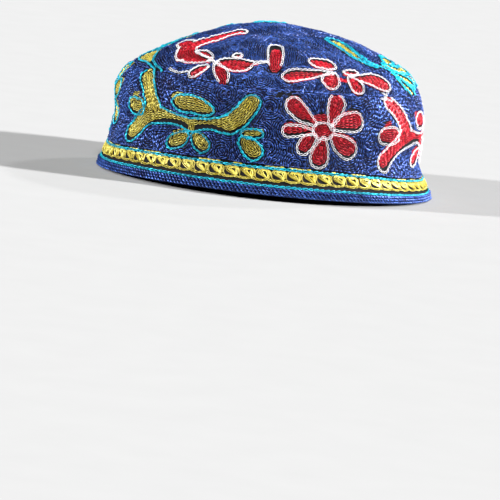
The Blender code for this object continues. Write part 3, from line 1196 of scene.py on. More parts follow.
    def wavering(self, laid: Stitches) -> Stitches:
        """Stitches moved by a gentle wave of the place, the same for neighbours, as rows sewn by hand waver.

        For each wave in WAVERS, whose length makes x and y angles, an end moves by the unsteadiness
        times the sine of y + 0.6x + turn along x, and times the sine of x - 0.5y + 2 turn along y.

        Args:
            laid: the stitches.

        Returns:
            The moved stitches.
        """
        ends = np.stack([laid.start, laid.start + laid.step])
        for length, turn in WAVERS:
            x, y = np.moveaxis(ends * TURN / length, -1, 0)
            push = np.stack([np.sin(y + 0.6 * x + turn), np.sin(x - 0.5 * y + 2.0 * turn)], axis=-1)
            ends = ends + self.unsteady * push
        return Stitches(ends[0], ends[1] - ends[0], laid.tone)


# how far from the border and from the seam their own rows run, and what other rows' distances gain there
FOOT_ROW, SEAM_ROW = 1.1, 0.62
FOOT_ALLOWANCE, SEAM_ALLOWANCE = 0.4, 0.85


@dataclass
class WallPanel(Panel):
    """The side wall: x is azimuth from the front times the wall's radius, y is the arc."""

    radius: float = 86.0

    def __post_init__(self) -> None:
        """The wall runs round the cap, so x repeats."""
        self.period = TURN * self.radius

    def to_cap(self, points: Array) -> tuple[Array, Array]:
        """Azimuth and arc of flat points."""
        return points[..., 0] / self.radius + FRONT, points[..., 1]

    def foot(self, points: Array) -> Array:
        """Arc of the border's upper edge under each point."""
        return self.cap.arc_at_height(border_height(self.to_cap(points)[0]))

    def within(self, points: Array, margin: float) -> Array:
        """Whether points lie between the border and the seam."""
        low = points[..., 1] > self.foot(points) + margin
        return low & (points[..., 1] < self.cap.seam - self.seam_margin)

    def edge_gap(self, points: Array) -> Array:
        """Distance from where rows may start at the border or the seam."""
        low, high = points[..., 1] - self.foot(points), self.cap.seam - points[..., 1]
        return np.minimum(low + FOOT_ALLOWANCE, high + SEAM_ALLOWANCE)

    def edges(self) -> list[Array]:
        """A row along the border and one along the seam."""
        x = np.linspace(-0.5, 0.5, 721) * self.period
        line = np.stack([x, np.zeros_like(x)], axis=-1)
        low, high = line.copy(), line.copy()
        low[:, 1] = self.foot(line) + FOOT_ROW
        high[:, 1] = self.cap.seam - SEAM_ROW
        return [low, high]


@dataclass
class CrownPanel(Panel):
    """The crown: x and y from the middle of the top, with the arc as distance from it."""

    def from_top(self, points: Array) -> Array:
        """Distance from the middle of the top."""
        return np.hypot(points[..., 0], points[..., 1])

    def to_cap(self, points: Array) -> tuple[Array, Array]:
        """Azimuth and arc of flat points."""
        return np.arctan2(points[..., 1], points[..., 0]), self.cap.total - self.from_top(points)

    @property
    def disc(self) -> float:
        """Radius of the flat crown."""
        return self.cap.total - self.cap.seam

    def within(self, points: Array, margin: float) -> Array:
        """Whether points lie inside the seam."""
        return self.from_top(points) < self.disc - self.seam_margin

    def edge_gap(self, points: Array) -> Array:
        """Distance from where rows may start at the seam."""
        return self.disc - self.from_top(points) + SEAM_ALLOWANCE

    def edges(self) -> list[Array]:
        """A row along the seam."""
        return [(self.disc - SEAM_ROW) * compass(np.linspace(0.0, TURN, 720, endpoint=False))]


def write_mesh(name: str, points: Array, faces: list[Array], attributes: dict[str, Array]) -> bpy.types.Object:
    """A smooth mesh object at the origin, from whole arrays.

    Args:
        name: the piece's name.
        points: corners in mm.
        faces: arrays of corner numbers, one array for each number of sides.
        attributes: values on the corners, as numbers or vectors.

    Returns:
        The object.
    """
    mesh = bpy.data.meshes.new(name)
    mesh.vertices.add(len(points))
    mesh.vertices.foreach_set("co", (points * MM).astype(np.float32).ravel())
    loops = np.concatenate([part.ravel() for part in faces])
    totals = np.concatenate([np.full(len(part), part.shape[1]) for part in faces])
    mesh.loops.add(len(loops))
    mesh.loops.foreach_set("vertex_index", loops.astype(np.int32))
    mesh.polygons.add(len(totals))
    starts = np.concatenate([[0], np.cumsum(totals)[:-1]])
    mesh.polygons.foreach_set("loop_start", starts.astype(np.int32))
    mesh.polygons.foreach_set("use_smooth", np.ones(len(totals), dtype=bool))
    for key, values in attributes.items():
        vector = values.ndim == 2
        layer = mesh.attributes.new(key, "FLOAT_VECTOR" if vector else "FLOAT", "POINT")
        layer.data.foreach_set("vector" if vector else "value", values.astype(np.float32).ravel())
    mesh.update(calc_edges=True)
    mesh.validate()
    piece = bpy.data.objects.new(name, mesh)
    bpy.context.scene.collection.objects.link(piece)
    return piece


def dressed(name: str, points: Array, faces: list[Array], attributes: dict[str, Array],
            material: bpy.types.Material) -> bpy.types.Object:
    """A mesh with its material that rides on the cap's body and is reported.

    Args:
        name: the piece's name.
        points: corners in mm.
        faces: arrays of corner numbers.
        attributes: values on the corners.
        material: what it is made of.

    Returns:
        The piece.
    """
    built = write_mesh(name, points, faces, attributes)
    built.data.materials.append(material)
    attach(built, BODY)
    LOG.info("%s: %d faces", name, sum(len(part) for part in faces))
    return built


@dataclass
class Sewing:
    """Turns laid stitches into meshes on the cap and dresses them in their thread."""

    cap: CapShape
    cloth_depth: float = 1.15
    most_faces: int = 190000
    width_spread: float = 0.07
    rise_spread: float = 0.09
    tone_spread: float = 0.22
    lowest: float = 0.15
    strand_shift: float = 40.0
    materials: dict[Thread, bpy.types.Material] = field(default_factory=dict)

    def material(self, thread: Thread) -> bpy.types.Material:
        """The thread's material, made once."""
        if thread not in self.materials:
            self.materials[thread] = thread.value.material()
        return self.materials[thread]

    def loops(self, name: str, panel: Panel, laid: Stitches, style: ChainStyle, thread: Thread, slot: str,
              seed: int) -> list[bpy.types.Object]:
        """Meshes of chain stitches, split so that no piece is too large.

        Each loop is the style's template stretched along its step, widened a little by chance, and
        carried by the panel's flat coordinates onto the cap at its height over the cloth.

        Args:
            name: the piece's name.
            panel: the panel that is sewn.
            laid: the stitches.
            style: the kind of stitch.
            thread: the thread.
            slot: not used.
            seed: source of chance.

        Returns:
            The pieces.
        """
        per_stitch = 2 * len(style.strand_faces())
        parts = max(1, math.ceil(len(laid) * per_stitch / self.most_faces))
        order = np.argsort(panel.to_cap(laid.start)[0], kind="stable") if parts > 1 else np.arange(len(laid))
        pieces = []
        for number, chosen in enumerate(np.array_split(order, parts)):
            label = name if parts == 1 else f"{name}_{number + 1}"
            pieces.append(self.piece(label, panel, laid.kept(chosen), style, thread, slot, seed + number))
        return pieces

    def piece(self, name: str, panel: Panel, laid: Stitches, style: ChainStyle, thread: Thread, slot: str,
              seed: int) -> bpy.types.Object:
        """One mesh of chain stitches, as `loops` describes."""
        rng = np.random.default_rng(seed)
        count = len(laid)
        template, own, share = (np.concatenate(pair) for pair in zip(style.strand(1.0), style.strand(-1.0)))
        length = np.hypot(*laid.step.T)
        stretch = length / style.pitch
        heading = laid.step / np.maximum(length, 1e-6)[:, None]
        sway = rng.normal(0.0, style.sway, count)
        heading = np.stack([heading[:, 0] - sway * heading[:, 1], heading[:, 1] + sway * heading[:, 0]], axis=-1)
        across = np.stack([-heading[:, 1], heading[:, 0]], axis=-1)
        width = rng.normal(1.0, self.width_spread, count)
        rise = rng.normal(1.0, self.rise_spread, count)
        along = template[None, :, 0] * stretch[:, None]
        aside = template[None, :, 1] * width[:, None]
        flat = laid.start[:, None] + along[..., None] * heading[:, None] + aside[..., None] * across[:, None]
        azimuth, arc = panel.to_cap(flat)
        lift = template[None, :, 2] * rise[:, None] - self.cloth_depth
        points = self.cap.place(azimuth, np.maximum(arc, self.lowest), lift).reshape(-1, 3)
        points[:, 2] = np.maximum(points[:, 2], self.lowest)
        one = style.strand_faces()
        pair = np.concatenate([one, one + len(template) // 2])
        faces = (pair[None] + (np.arange(count) * len(template))[:, None, None]).reshape(-1, 3)
        tone = np.clip(laid.tone + rng.normal(0.0, self.tone_spread, count), 0.0, 1.0)
        attributes = {
            "strand": (own[None] + rng.uniform(0.0, self.strand_shift, (count, 1, 3))).reshape(-1, 3),
            "tone": np.repeat(tone, len(template)),
            # the height share sets the painted shade at the strands' feet
            "height": np.tile(share, count),
        }
        built = dressed(name, arched(points), [faces], attributes, self.material(thread))
        return built


@dataclass
class Couching:
    """Single threads laid along curves, built as thin closed tubes."""

    sewing: Sewing
    sides: int = 4
    tone: Pair = (0.6, 0.3)
    strand_shift: float = 7.0

    def build(self, name: str, panel: Panel, curves: Array, lift: Array, radius: float, thread: Thread,
              slot: str) -> bpy.types.Object:
        """One mesh of threads: rings of corners carried along each curve, with a fan at each end.

        A corner's height for the finish is 0.15 plus half its curve's lift plus 0.3 of its own sine, so
        the finish paints shade on low threads and on the underside of each tube.

        Args:
            name: the piece's name.
            panel: the panel that is sewn.
            curves: flat points, threads by points of a thread.
            lift: heights over the cloth for the same points.
            radius: the thread's radius.
            thread: its colour.
            slot: not used.

        Returns:
            The piece.
        """
        azimuth, arc = panel.to_cap(curves)
        height = lift - self.sewing.cloth_depth
        centre = arched(self.sewing.cap.place(azimuth, arc, height))
        above = arched(self.sewing.cap.place(azimuth, arc, height + 0.5)) - centre
        tangent = unit(np.gradient(centre, axis=1))
        aside = unit(np.cross(tangent, above))
        turns = TURN * np.arange(self.sides) / self.sides
        threads, count = centre.shape[:2]
        rings = centre[:, :, None] + radius * spokes(turns, aside, np.cross(aside, tangent))
        points = np.concatenate([rings.reshape(threads, -1, 3), centre[:, :1], centre[:, -1:]], axis=1)
        each = count * self.sides + 2
        quads = np.roll(grid_quads(count, self.sides, False, True)[:, ::-1], 1, axis=1)
        k = np.arange(self.sides)
        after, last = np.roll(k, -1), (count - 1) * self.sides
        first_cap = np.stack([np.full_like(k, each - 2), after, k], axis=-1)
        last_cap = np.stack([np.full_like(k, each - 1), last + k, last + after], axis=-1)
        steps = (np.arange(threads) * each)[:, None, None]
        run = np.linalg.norm(np.diff(centre, axis=1, prepend=centre[:, :1]), axis=-1).cumsum(axis=1)
        own = np.stack(np.broadcast_arrays(run[:, :, None], radius * np.cos(turns), radius * np.sin(turns)), axis=-1)
        ends = np.zeros((threads, 2, 3))
        own = np.concatenate([own.reshape(threads, -1, 3), ends], axis=1)
        own = own + self.strand_shift * np.arange(threads)[:, None, None]
        rng = np.random.default_rng(threads + count)
        height = np.concatenate([np.repeat(lift, self.sides, axis=1), lift[:, :1], lift[:, -1:]], axis=1)
        above_middle = np.concatenate([np.tile(np.sin(turns), count), [0.0, 0.0]])
        attributes = {
            "strand": own.reshape(-1, 3),
            "tone": np.repeat(np.clip(rng.normal(*self.tone, threads), 0.0, 1.0), each),
            # painted shade: the height darkens the threads' low loops and each tube's underside
            "height": np.clip(0.15 + 0.5 * height + 0.3 * above_middle, 0.0, 1.0).ravel(),
        }
        faces = [(quads + steps).reshape(-1, 4), (np.concatenate([first_cap, last_cap]) + steps).reshape(-1, 3)]
        built = dressed(name, points.reshape(-1, 3), faces, attributes, self.sewing.material(thread))
        return built


@dataclass
class ClothShells:
    """The black cotton under the stitches: a closed shell for each of the three panels."""

    cap: CapShape
    columns: int = 288
    depth: float = 1.15
    cloth: float = 2.0
    hem: float = 3.0
    hem_height: float = 5.0
    hem_round: float = 0.8
    lap: float = 0.05
    top_fan: float = 0.8
    wall_rows: int = 34
    border_rows: int = 14
    crown_rows: int = 40
    finish: ClothFinish = field(default_factory=ClothFinish)

    def __post_init__(self) -> None:
        """Makes the one material that the shells share, and the column angles round the cap."""
        self.cotton = self.finish.material()
        self.azimuths = np.linspace(0.0, TURN, self.columns, endpoint=False)[:, None]

    def skin(self, azimuth: Array, arc: Array, inset: Array | float) -> Array:
        """Points set in from the outer surface."""
        return self.cap.place(azimuth, arc, -np.broadcast_to(inset, arc.shape))

    def rows_between(self, low: Array, high: Array | float, rows: int) -> tuple[Array, Array, Array]:
        """Rows of points at even arcs between two edges.

        Args:
            low: arc of the lower edge in each column.
            high: arc of the upper edge.
            rows: how many rows.

        Returns:
            Azimuths and arcs, columns by rows, and the weave's coordinates.
        """
        arc = low + (high - low) * np.linspace(0.0, 1.0, rows)[None, :]
        turn = np.broadcast_to(self.azimuths, arc.shape)
        return turn, arc, self.woven(turn, arc)

    def shell(self, name: str, section: Array, flat: Array) -> bpy.types.Object:
        """A closed ring: each column's section is a closed loop, joined to the next column's.

        Args:
            name: the piece's name.
            section: points, columns by points of a section.
            flat: the same points in panel mm for the weave.

        Returns:
            The object.
        """
        faces = grid_quads(*section.shape[:2], True, True)
        return dressed(name, arched(section.reshape(-1, 3)), [faces], {"panel": flat.reshape(-1, 3)}, self.cotton)

    def woven(self, azimuth: Array, arc: Array) -> Array:
        """Panel mm coordinates for the weave: length round the cap and arc up it."""
        return np.stack([azimuth * WallPanel.radius, arc, np.zeros_like(arc)], axis=-1)

    def side_wall(self) -> bpy.types.Object:
        """The wall's shell, from just inside the border to the seam."""
        low = self.cap.arc_at_height(border_height(self.azimuths)) + self.lap
        turn, arc, flat = self.rows_between(low, self.cap.seam - self.lap, self.wall_rows)
        section = np.concatenate([self.skin(turn, arc, self.depth), self.skin(turn, arc, self.cloth)[:, ::-1]], axis=1)
        built = self.shell("side_wall_cloth", section, np.concatenate([flat, flat[:, ::-1]], axis=1))
        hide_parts("side_wall")
        return built

    def border_band(self) -> bpy.types.Object:
        """The border's shell, with a hem that is thicker at the foot and flat underneath."""
        high = self.cap.arc_at_height(border_height(self.azimuths)) - self.lap
        turn, arc, flat = self.rows_between(self.hem_round, high, self.border_rows)
        outer = self.skin(turn, arc, self.depth)
        thick = self.cloth + (self.hem - self.cloth) * np.clip(1.0 - outer[..., 2] / self.hem_height, 0.0, 1.0)
        inner = self.skin(turn, arc, thick)
        inner[:, 0, 2] = self.hem_round
        feet = []
        for side, step in ((outer, -0.5 * self.hem_round), (inner, 0.5 * self.hem_round)):
            reach = np.hypot(side[:, :1, 0], side[:, :1, 1])
            foot = side[:, :1] * ((reach + step) / reach)[..., None]
            foot[..., 2] = 0.0
            feet.append(foot)
        section = np.concatenate([feet[0], outer, inner[:, ::-1], feet[1]], axis=1)
        flat = np.concatenate([flat[:, :1], flat, flat[:, ::-1], flat[:, :1]], axis=1)
        built = self.shell("border_cloth", section, flat)
        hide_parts("border_band")
        return built

    def crown(self) -> bpy.types.Object:
        """The crown's shell: an outer and an inner dome joined along the seam, each closed by a fan at the top."""
        count = self.crown_rows
        arc = np.linspace(self.cap.seam + self.lap, self.cap.total - self.top_fan, count)[None, :]
        arc, turn = np.broadcast_arrays(arc, self.azimuths)
        outer = self.skin(turn, arc, self.depth)
        inner = self.skin(turn, arc, self.cloth)
        top = self.cap.points[0, -1]
        tops = np.array([top - (0, 0, self.depth), top - (0, 0, self.cloth)])
        points = np.concatenate([outer.reshape(-1, 3), inner.reshape(-1, 3), tops])
        flat = self.woven(turn, arc).reshape(-1, 3)
        flat = np.concatenate([flat, flat, np.zeros((2, 3))])
        outside = grid_quads(self.columns, count, True, False)
        start = self.columns * count
        ring = np.arange(self.columns) * count
        nexts = np.roll(ring, -1)
        foot = np.stack([ring, start + ring, start + nexts, nexts], axis=-1)
        quads = np.concatenate([outside, start + outside[:, ::-1], foot])
        ring, nexts = ring + count - 1, nexts + count - 1
        cap_out = np.stack([ring, nexts, np.full_like(ring, 2 * start)], axis=-1)
        cap_in = np.stack([start + nexts, start + ring, np.full_like(ring, 2 * start + 1)], axis=-1)
        faces = [quads, np.concatenate([cap_out, cap_in])]
        built = dressed("crown_cloth", arched(points), faces, {"panel": flat}, self.cotton)
        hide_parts("crown")
        return built


@dataclass
class SideWallEmbroidery:
    """The side wall's flowers and branches on their swirling blue ground."""

    cap: CapShape
    sewing: Sewing

    # x, y and threads of each figure, and in degrees how far a bud is turned
    flower_middles: tuple[tuple[float, float, Scheme], ...] = (
        (29.5, 40.4, Scheme.RED), (-134.0, 40.0, Scheme.YELLOW), (204.0, 39.5, Scheme.RED),
    )
    branch_middles: tuple[tuple[float, float, Scheme], ...] = (
        (-47.0, 38.0, Scheme.YELLOW), (114.0, 37.5, Scheme.RED), (-237.0, 38.0, Scheme.YELLOW),
    )
    bud_middles: tuple[tuple[float, float, Scheme, float], ...] = (
        (-168.0, 38.0, Scheme.YELLOW, 24.0), (245.0, 40.0, Scheme.RED, -18.0),
    )
    swirls: tuple[Pair, ...] = (
        (-1.0, 51.4), (0.3, 29.3), (58.2, 51.5), (61.9, 30.4), (-108.3, 33.6), (97.9, 53.6), (102.4, 23.8),
        (-26.7, 55.3), (-57.1, 56.7), (16.0, 21.4), (-24.8, 24.0), (-72.6, 24.5), (147.0, 55.0), (174.0, 50.0),
        (172.0, 26.0), (234.0, 54.0), (228.0, 24.0), (256.0, 24.0), (-196.0, 54.0), (-188.0, 26.0), (-156.0, 54.0),
        (-152.0, 24.0), (-225.0, 55.0), (-215.0, 22.0), (122.0, 22.0),
    )
    bare: tuple[Triple, ...] = (
        (4.0, 58.6, 2.6), (10.0, 59.6, 2.0), (46.0, 53.6, 1.6), (-40.0, 57.8, 0.9),
    )

    def panel(self) -> WallPanel:
        """The wall with all its figures in place."""
        motifs = []
        for x, y, scheme in self.flower_middles:
            flower = Motif(Pattern.flower, scheme, extra=Pattern.flower_heart, crossing=1.7, inset=0.25,
                           slip=(0.0, 1.6))
            motifs.append(flower.changed(0.0, (x, y)))
        for x, y, scheme in self.branch_middles:
            cross = Pattern.branch_cross if scheme is Scheme.RED else ()
            branch = Motif(Pattern.branch, scheme, inner=Pattern.branch_inner, lines=cross)
            leaves = Motif(Pattern.branch_leaves, scheme, extra=Pattern.branch_crumbs, crossing=1.2)
            motifs += [branch.changed(0.0, (x, y)), leaves.changed(0.0, (x, y))]
        for x, y, scheme, turn in self.bud_middles:
            motifs.append(Motif(Pattern.bud, scheme).changed(turn, (x, y)))
        return WallPanel("wall", self.cap, motifs, self.swirls, seed=11, bare=self.bare)

    def build(self) -> None:
        """Sews the wall."""
        sew_panel(self.panel(), self.sewing, "side_wall")


@dataclass
class CrownEmbroidery:
    """The crown's sprays and blooms on their swirling blue ground."""

    cap: CapShape
    sewing: Sewing
    swirls: tuple[Pair, ...] = (
        (-8.3, -79.5), (-57.2, -60.0), (11.4, -34.5), (74.4, -33.5), (-24.7, -46.5), (8.0, -12.0), (48.0, -12.0),
        (-32.0, -8.0), (30.0, 14.0), (8.3, 79.5), (57.2, 60.0), (-11.4, 34.5), (-74.4, 33.5), (24.7, 46.5),
        (-30.0, 16.0), (2.0, -58.0), (-2.0, 58.0), (78.0, 18.0), (-60.0, 20.0), (60.0, -70.0), (16.0, -84.0),
    )
    spray_middle: Pair = (-36.5, -60.5)
    slip: Pair = (0.0, -1.2)

    def panel(self) -> CrownPanel:
        """The crown with all its figures in place."""
        red, yellow, slip = Scheme.RED, Scheme.YELLOW, self.slip
        spray = Motif(Pattern.spray, red, lines=Pattern.spray_tail, crossing=1.0, slip=slip)
        bud = Motif(Pattern.spray_bud, red, inner=Pattern.spray_bud_inner, broken=Pattern.spray_bud_gap)
        bloom = Motif(Pattern.bloom, red, extra=Pattern.bloom_heart, lines=Pattern.bloom_lines, crossing=1.4, slip=slip)
        feather = Motif(Pattern.feather, yellow, lines=Pattern.feather_lines, crossing=2.0, doubled=1.3, inset=1.8,
                        slip=slip)
        plume = Motif(Pattern.plume, yellow, inner=Pattern.plume_inner, crossing=1.2)
        star = Motif(Pattern.star, yellow, crossing=1.2, slip=slip)
        figures = (
            (spray, self.spray_middle), (bud, self.spray_middle), (bloom, (37.6, -60.2)), (feather, (62.0, -24.0)),
            (plume, (-75.0, -9.0)),
        )
        motifs = [
            figure.changed(turn, (side * x, side * y))
            for turn, side in ((0.0, 1.0), (180.0, -1.0)) for figure, (x, y) in figures
        ]
        motifs.append(star.changed(12.0, (-7.0, 11.0)))
        return CrownPanel("crown", self.cap, motifs, self.swirls, seed=23)

    def build(self) -> None:
        """Sews the crown."""
        sew_panel(self.panel(), self.sewing, "crown")


def sew_panel(panel: Panel, sewing: Sewing, slot: str) -> None:
    """Sews a panel's outlines, fillings and ground as pieces of their own.

    Args:
        panel: the panel and its figures.
        sewing: what makes the meshes.
        slot: not used.
    """
    rng = np.random.default_rng(panel.seed)
    for thread, laid in panel.outlines(rng).items():
        label = f"{panel.name}_outline_{thread.name.lower()}"
        style = TIGHT_OUTLINE if thread is Thread.CYAN else OUTLINE
        sewing.loops(label, panel, laid, style, thread, slot, panel.seed + 1)
    for thread, laid in panel.fillings(rng).items():
        label = f"{panel.name}_filling_{thread.name.lower()}"
        sewing.loops(label, panel, laid, FILLING, thread, slot, panel.seed + 2)
    sewing.loops(f"{panel.name}_ground_blue", panel, panel.ground(rng), GROUND, Thread.BLUE, slot, panel.seed + 3)


@dataclass
class BorderPanel(Panel):
    """The border strip: x round the rim, y up the strip, which narrows towards the cap's sides."""

    radius: float = 91.0
    width: float = 17.4

    def to_cap(self, points: Array) -> tuple[Array, Array]:
        """Azimuth and arc: y is drawn in so that the strip's width fits under the border's upper edge."""
        azimuth = points[..., 0] / self.radius + FRONT
        top = self.cap.arc_at_height(border_height(azimuth))
        return azimuth, points[..., 1] / self.width * top


@dataclass
class BorderEmbroidery:
    """The border's rows, from the hem up: braid, turquoise, bare cloth, rosettes, turquoise, a broken line."""

    cap: CapShape
    sewing: Sewing
    braid_rows: tuple[float, ...] = (0.95, 2.85, 4.75)
    braid_spacing: float = 2.1
    braid_step: Pair = (2.9, -2.1)
    lower_line: float = 6.5
    upper_line: float = 16.5
    wisp_height: float = 17.45
    rosettes: int = 65
    rosette_foot: float = 9.6
    rosette_thread: float = 0.21
    # the outer loop and the fan's widest loop, clockwise from the apex, in mm from the rosette's corner
    apex: Pair = (6.2, 1.1)
    outer_loop: tuple[Pair, ...] = (
        (3.2, 0.6), (0.0, 1.2), (-0.8, 3.2), (-0.3, 5.4), (2.2, 6.5), (5.6, 6.4), (7.8, 5.2), (7.6, 2.9),
    )
    fan_loop: tuple[Pair, ...] = (
        (3.9, 2.5), (1.7, 3.7), (0.7, 4.9), (1.6, 6.0), (4.0, 6.3), (6.2, 5.9), (7.2, 4.6), (7.0, 2.9),
    )
    knot: Pair = (4.7, 4.4)
    # shares by which the loops are drawn towards the knot, from the widest to the innermost
    nesting: tuple[float, ...] = (1.14, 1.0, 0.86, 0.72, 0.58, 0.42)
    outer_share: float = 1.2
    loop_points: int = 24
    uneven: float = 0.2
    loop_height: float = 0.5
    loop_rise: float = 0.9
    loop_wave: Triple = (0.15, 2.1, 0.12)
    heights: Pair = (0.3, 1.5)
    scallop_points: int = 24
    scallop_start: float = 0.72
    scallop_round: float = 0.8
    scallop_rise: float = 1.1
    scallop_dip: float = 1.2
    line_points: int = 1441
    braid_shift: float = 0.37

    def straight(self, panel: BorderPanel, height: float) -> Array:
        """A curve right round the strip at one height."""
        x = np.linspace(-0.5, 0.5, self.line_points) * TURN * panel.radius
        return np.stack([x, np.full_like(x, height)], axis=-1)

    def pitch(self, panel: BorderPanel) -> float:
        """Length of strip that one rosette takes."""
        return TURN * panel.radius / self.rosettes

    def scallops(self, panel: BorderPanel, rng: np.random.Generator) -> Stitches:
        """The chain under the rosettes: a curve that dips by a sine raised off its foot at each joint.

        Args:
            panel: the border strip.
            rng: source of small differences.

        Returns:
            The stitches.
        """
        share = np.linspace(0.0, self.rosettes, self.rosettes * self.scallop_points)
        dip = np.abs(np.sin(math.pi * (share - self.scallop_start))) ** self.scallop_round
        x = (share - 0.5 * self.rosettes) * self.pitch(panel)
        y = self.rosette_foot + self.scallop_rise - self.scallop_dip * dip
        return sew_along(np.stack([x, y], axis=-1), ROSETTE.pitch, rng)

    def coil_curves(self, panel: BorderPanel, rng: np.random.Generator) -> tuple[Array, Array]:
        """The rosettes' nested loops: each leaves the apex, swings left, over the top and back down the right.

        The fan's inner loops are its widest one drawn towards the knot by a share, but for the
        apex, and lie higher over the cloth.

        Args:
            panel: the border strip.
            rng: source of each rosette's small differences.

        Returns:
            Flat curves and their heights over the cloth.
        """
        apex, fan, knot = np.array(self.apex), np.array(self.fan_loop), np.array(self.knot)
        loops = [(self.outer_share, np.array(self.outer_loop))]
        loops += [(share, knot + share * (fan - knot)) for share in self.nesting]
        swing, quickness, spread = self.loop_wave
        curves, lifts = [], []
        for share, drawn in loops:
            corners = np.concatenate([[apex], drawn, [apex]])
            path = corners[None] + rng.normal(0.0, self.uneven, (self.rosettes, len(corners), 2))
            marks = np.linspace(0.0, len(corners) - 1.0, self.loop_points)
            curves.append(catmull_rom(with_ends(path.swapaxes(0, 1)), marks).swapaxes(0, 1))
            wave = swing * np.sin(marks * quickness)[None] + rng.normal(0.0, spread, (self.rosettes, 1))
            lifts.append(np.clip(self.loop_height + self.loop_rise * (1.0 - share) + wave, *self.heights))
        shift = (np.arange(self.rosettes) - 0.5 * self.rosettes) * self.pitch(panel)
        flat = np.stack(curves) + np.stack([shift, np.full_like(shift, self.rosette_foot)], axis=-1)[None, :, None]
        return flat.reshape(-1, self.loop_points, 2), np.stack(lifts).reshape(-1, self.loop_points)

    def braid(self, panel: BorderPanel, rng: np.random.Generator) -> Stitches:
        """The hem's braid: rows of slanting stitches that overlap like the turns of a rope.

        Args:
            panel: the border strip.
            rng: source of small differences.

        Returns:
            The stitches.
        """
        count = int(TURN * panel.radius / self.braid_spacing)
        step = np.array(self.braid_step)
        runs = []
        for number, height in enumerate(self.braid_rows):
            x = (np.arange(count) + self.braid_shift * number) * TURN * panel.radius / count
            middle = np.stack([x, np.full(count, height)], axis=-1)
            runs.append(Stitches(middle - 0.5 * step, np.tile(step, (count, 1)), rng.normal(*ROW_TONE, count)))
        return Stitches.joined(runs)

    def row(self, panel: BorderPanel, height: float, style: ChainStyle, rng: np.random.Generator) -> Stitches:
        """Stitches right round the strip at one height."""
        return sew_along(self.straight(panel, height), style.pitch, rng)

    def build(self) -> None:
        """Sews the border, its broken line where the sines of x / 7 and x / 2.9 + 1 add up to over a tenth."""
        panel = BorderPanel("border", self.cap, [], (), seed=37)
        rng = np.random.default_rng(panel.seed)
        braid = self.braid(panel, rng)
        lower = self.row(panel, self.lower_line, BORDER_LINE, rng)
        upper = self.row(panel, self.upper_line, BORDER_LINE, rng)
        wisps = self.row(panel, self.wisp_height, WISP, rng)
        x = wisps.start[:, 0]
        sewn = np.sin(x / 7.0) + np.sin(x / 2.9 + 1.0) > 0.1
        rows = {
            "border_braid_blue": (braid, HEM_BRAID, Thread.BLUE),
            "border_line_lower": (lower, BORDER_LINE, Thread.CYAN),
            "border_line_upper": (upper, BORDER_LINE, Thread.CYAN),
            "border_scallops": (self.scallops(panel, rng), ROSETTE, Thread.YELLOW),
            "border_wisps_yellow": (wisps.kept(sewn), WISP, Thread.YELLOW),
        }
        for name, (laid, style, thread) in rows.items():
            self.sewing.loops(name, panel, laid, style, thread, "border_band", panel.seed)
        curves, lifts = self.coil_curves(panel, rng)
        couching = Couching(self.sewing)
        couching.build("border_rosettes", panel, curves, lifts, self.rosette_thread, Thread.YELLOW, "border_band")


@dataclass(frozen=True)
class SoftLight:
    """A soft distant light: where it comes from, its strength and how wide it looks, in degrees."""

    name: str
    source: Triple
    strength: float
    spread: float


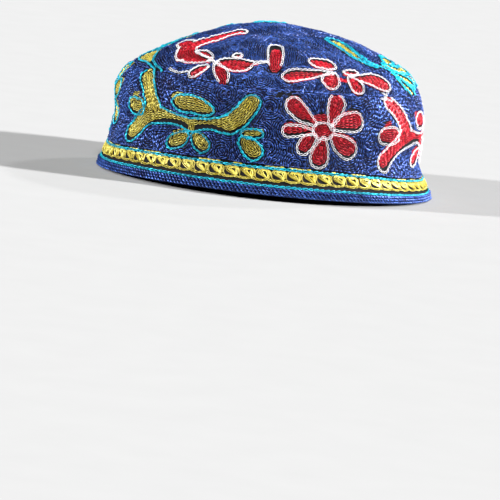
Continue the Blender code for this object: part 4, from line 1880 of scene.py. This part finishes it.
@dataclass
class Studio:
    """The pale floor, the soft lights and the camera at the photograph's angle."""

    elevation: float = 5.9
    roll: float = 6.2
    distance: float = 2000.0
    pixels_per_mm: float = 1.798
    aim_height: float = 30.0
    rim_middle: Pair = (263.8, 180.2)
    image: float = 500.0
    sensor: float = 36.0
    lights: tuple[SoftLight, ...] = (
        SoftLight("key_light", (1.0, -0.15, 0.4), 10.5, 4.0),
        SoftLight("fill_light", (-1.0, -0.3, 0.4), 5.6, 4.0),
        SoftLight("top_light", (0.15, -0.9, 0.9), 2.1, 5.0),
        SoftLight("back_light", (0.6, 0.7, 0.6), 1.2, 4.0),
    )
    sky: float = 0.06
    paper: Pair = (0.33, 0.35)
    floor_reach: float = 6.0
    floor_lines: int = 13
    sight: Pair = (0.1, 40.0)

    def floor(self) -> bpy.types.Object:
        """A wide pale floor, a square grid so that its one material reads as plain paper."""
        side = np.linspace(-self.floor_reach, self.floor_reach, self.floor_lines) / MM
        x, y = np.meshgrid(side, side, indexing="ij")
        points = np.stack([x, y, np.zeros_like(x)], axis=-1).reshape(-1, 3)
        built = write_mesh("floor", points, [grid_quads(self.floor_lines, self.floor_lines, False, False)], {})
        shop = NodeShop("pale_paper")
        grain = shop.noise(shop.place_on_object(), 40.0, 3.0)
        greys = [(grey, grey, grey, 1.0) for grey in self.paper]
        paper = shop.dress(Base_Color=shop.blend(grain, *greys), Roughness=0.9, Specular_IOR_Level=0.1)
        built.data.materials.append(paper)
        return built

    def light(self, soft: SoftLight) -> None:
        """Hangs one light, facing the cap."""
        data = bpy.data.lights.new(soft.name, "SUN")
        data.energy = soft.strength
        data.angle = math.radians(soft.spread)
        lamp = bpy.data.objects.new(soft.name, data)
        place = np.array(soft.source)
        lamp.matrix_world = self.looking(place, -place, 0.0)
        bpy.context.scene.collection.objects.link(lamp)

    def looking(self, place: Array, towards: Array, roll: float) -> Matrix:
        """The matrix of an object at a place that looks along a direction and is rolled about it.

        Args:
            place: position in m.
            towards: direction of sight.
            roll: turn about the line of sight in degrees, which leans what is seen to the right.

        Returns:
            The matrix.
        """
        ahead = towards / np.linalg.norm(towards)
        right = np.cross(ahead, (0.0, 0.0, 1.0))
        right /= np.linalg.norm(right)
        up = np.cross(right, ahead)
        cosine, sine = math.cos(math.radians(roll)), math.sin(math.radians(roll))
        right, up = right * cosine + up * sine, up * cosine - right * sine
        matrix = np.eye(4)
        matrix[:3, 0], matrix[:3, 1], matrix[:3, 2], matrix[:3, 3] = right, up, -ahead, place
        return Matrix(matrix.tolist())

    def camera(self) -> None:
        """Places the camera so that the cap fills the photograph's part of the frame."""
        angle = math.radians(self.elevation)
        ahead = np.array([0.0, math.cos(angle), -math.sin(angle)])
        aim = np.array([0.0, 0.0, self.aim_height])
        place = aim - ahead * self.distance
        data = bpy.data.cameras.new("camera")
        data.sensor_width = self.sensor
        focal = self.pixels_per_mm * self.distance
        data.lens = focal * self.sensor / self.image
        data.clip_start, data.clip_end = self.sight
        lens = bpy.data.objects.new("camera", data)
        lens.matrix_world = self.looking(place * MM, ahead, self.roll)
        matrix = np.array(lens.matrix_world)
        sight = -place
        depth = sight @ ahead
        rim = np.array([sight @ matrix[:3, 0], sight @ matrix[:3, 1]]) * focal / depth
        middle = np.array(self.rim_middle) - 0.5 * self.image
        data.shift_x = float((rim[0] - middle[0]) / self.image)
        data.shift_y = float((rim[1] + middle[1]) / self.image)
        bpy.context.scene.collection.objects.link(lens)
        bpy.context.scene.camera = lens

    def build(self) -> None:
        """Sets up the floor, lights, sky and camera."""
        self.floor()
        for soft in self.lights:
            self.light(soft)
        scene = bpy.context.scene
        world = bpy.data.worlds.new("studio")
        world.use_nodes = True
        sky = world.node_tree.nodes["Background"]
        sky.inputs["Color"].default_value = (1.0, 1.0, 1.0, 1.0)
        sky.inputs["Strength"].default_value = self.sky
        scene.world = world
        scene.view_settings.view_transform = "Standard"
        self.camera()


def main() -> None:
    """Builds the cap on its cloth, then the studio."""
    logging.basicConfig(level=logging.INFO, format="%(message)s")
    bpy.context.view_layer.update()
    cap = CapShape()
    shells = ClothShells(cap)
    shells.border_band()
    shells.side_wall()
    shells.crown()
    sewing = Sewing(cap)
    BorderEmbroidery(cap, sewing).build()
    SideWallEmbroidery(cap, sewing).build()
    CrownEmbroidery(cap, sewing).build()
    Studio().build()


if __name__ == "__main__":
    main()
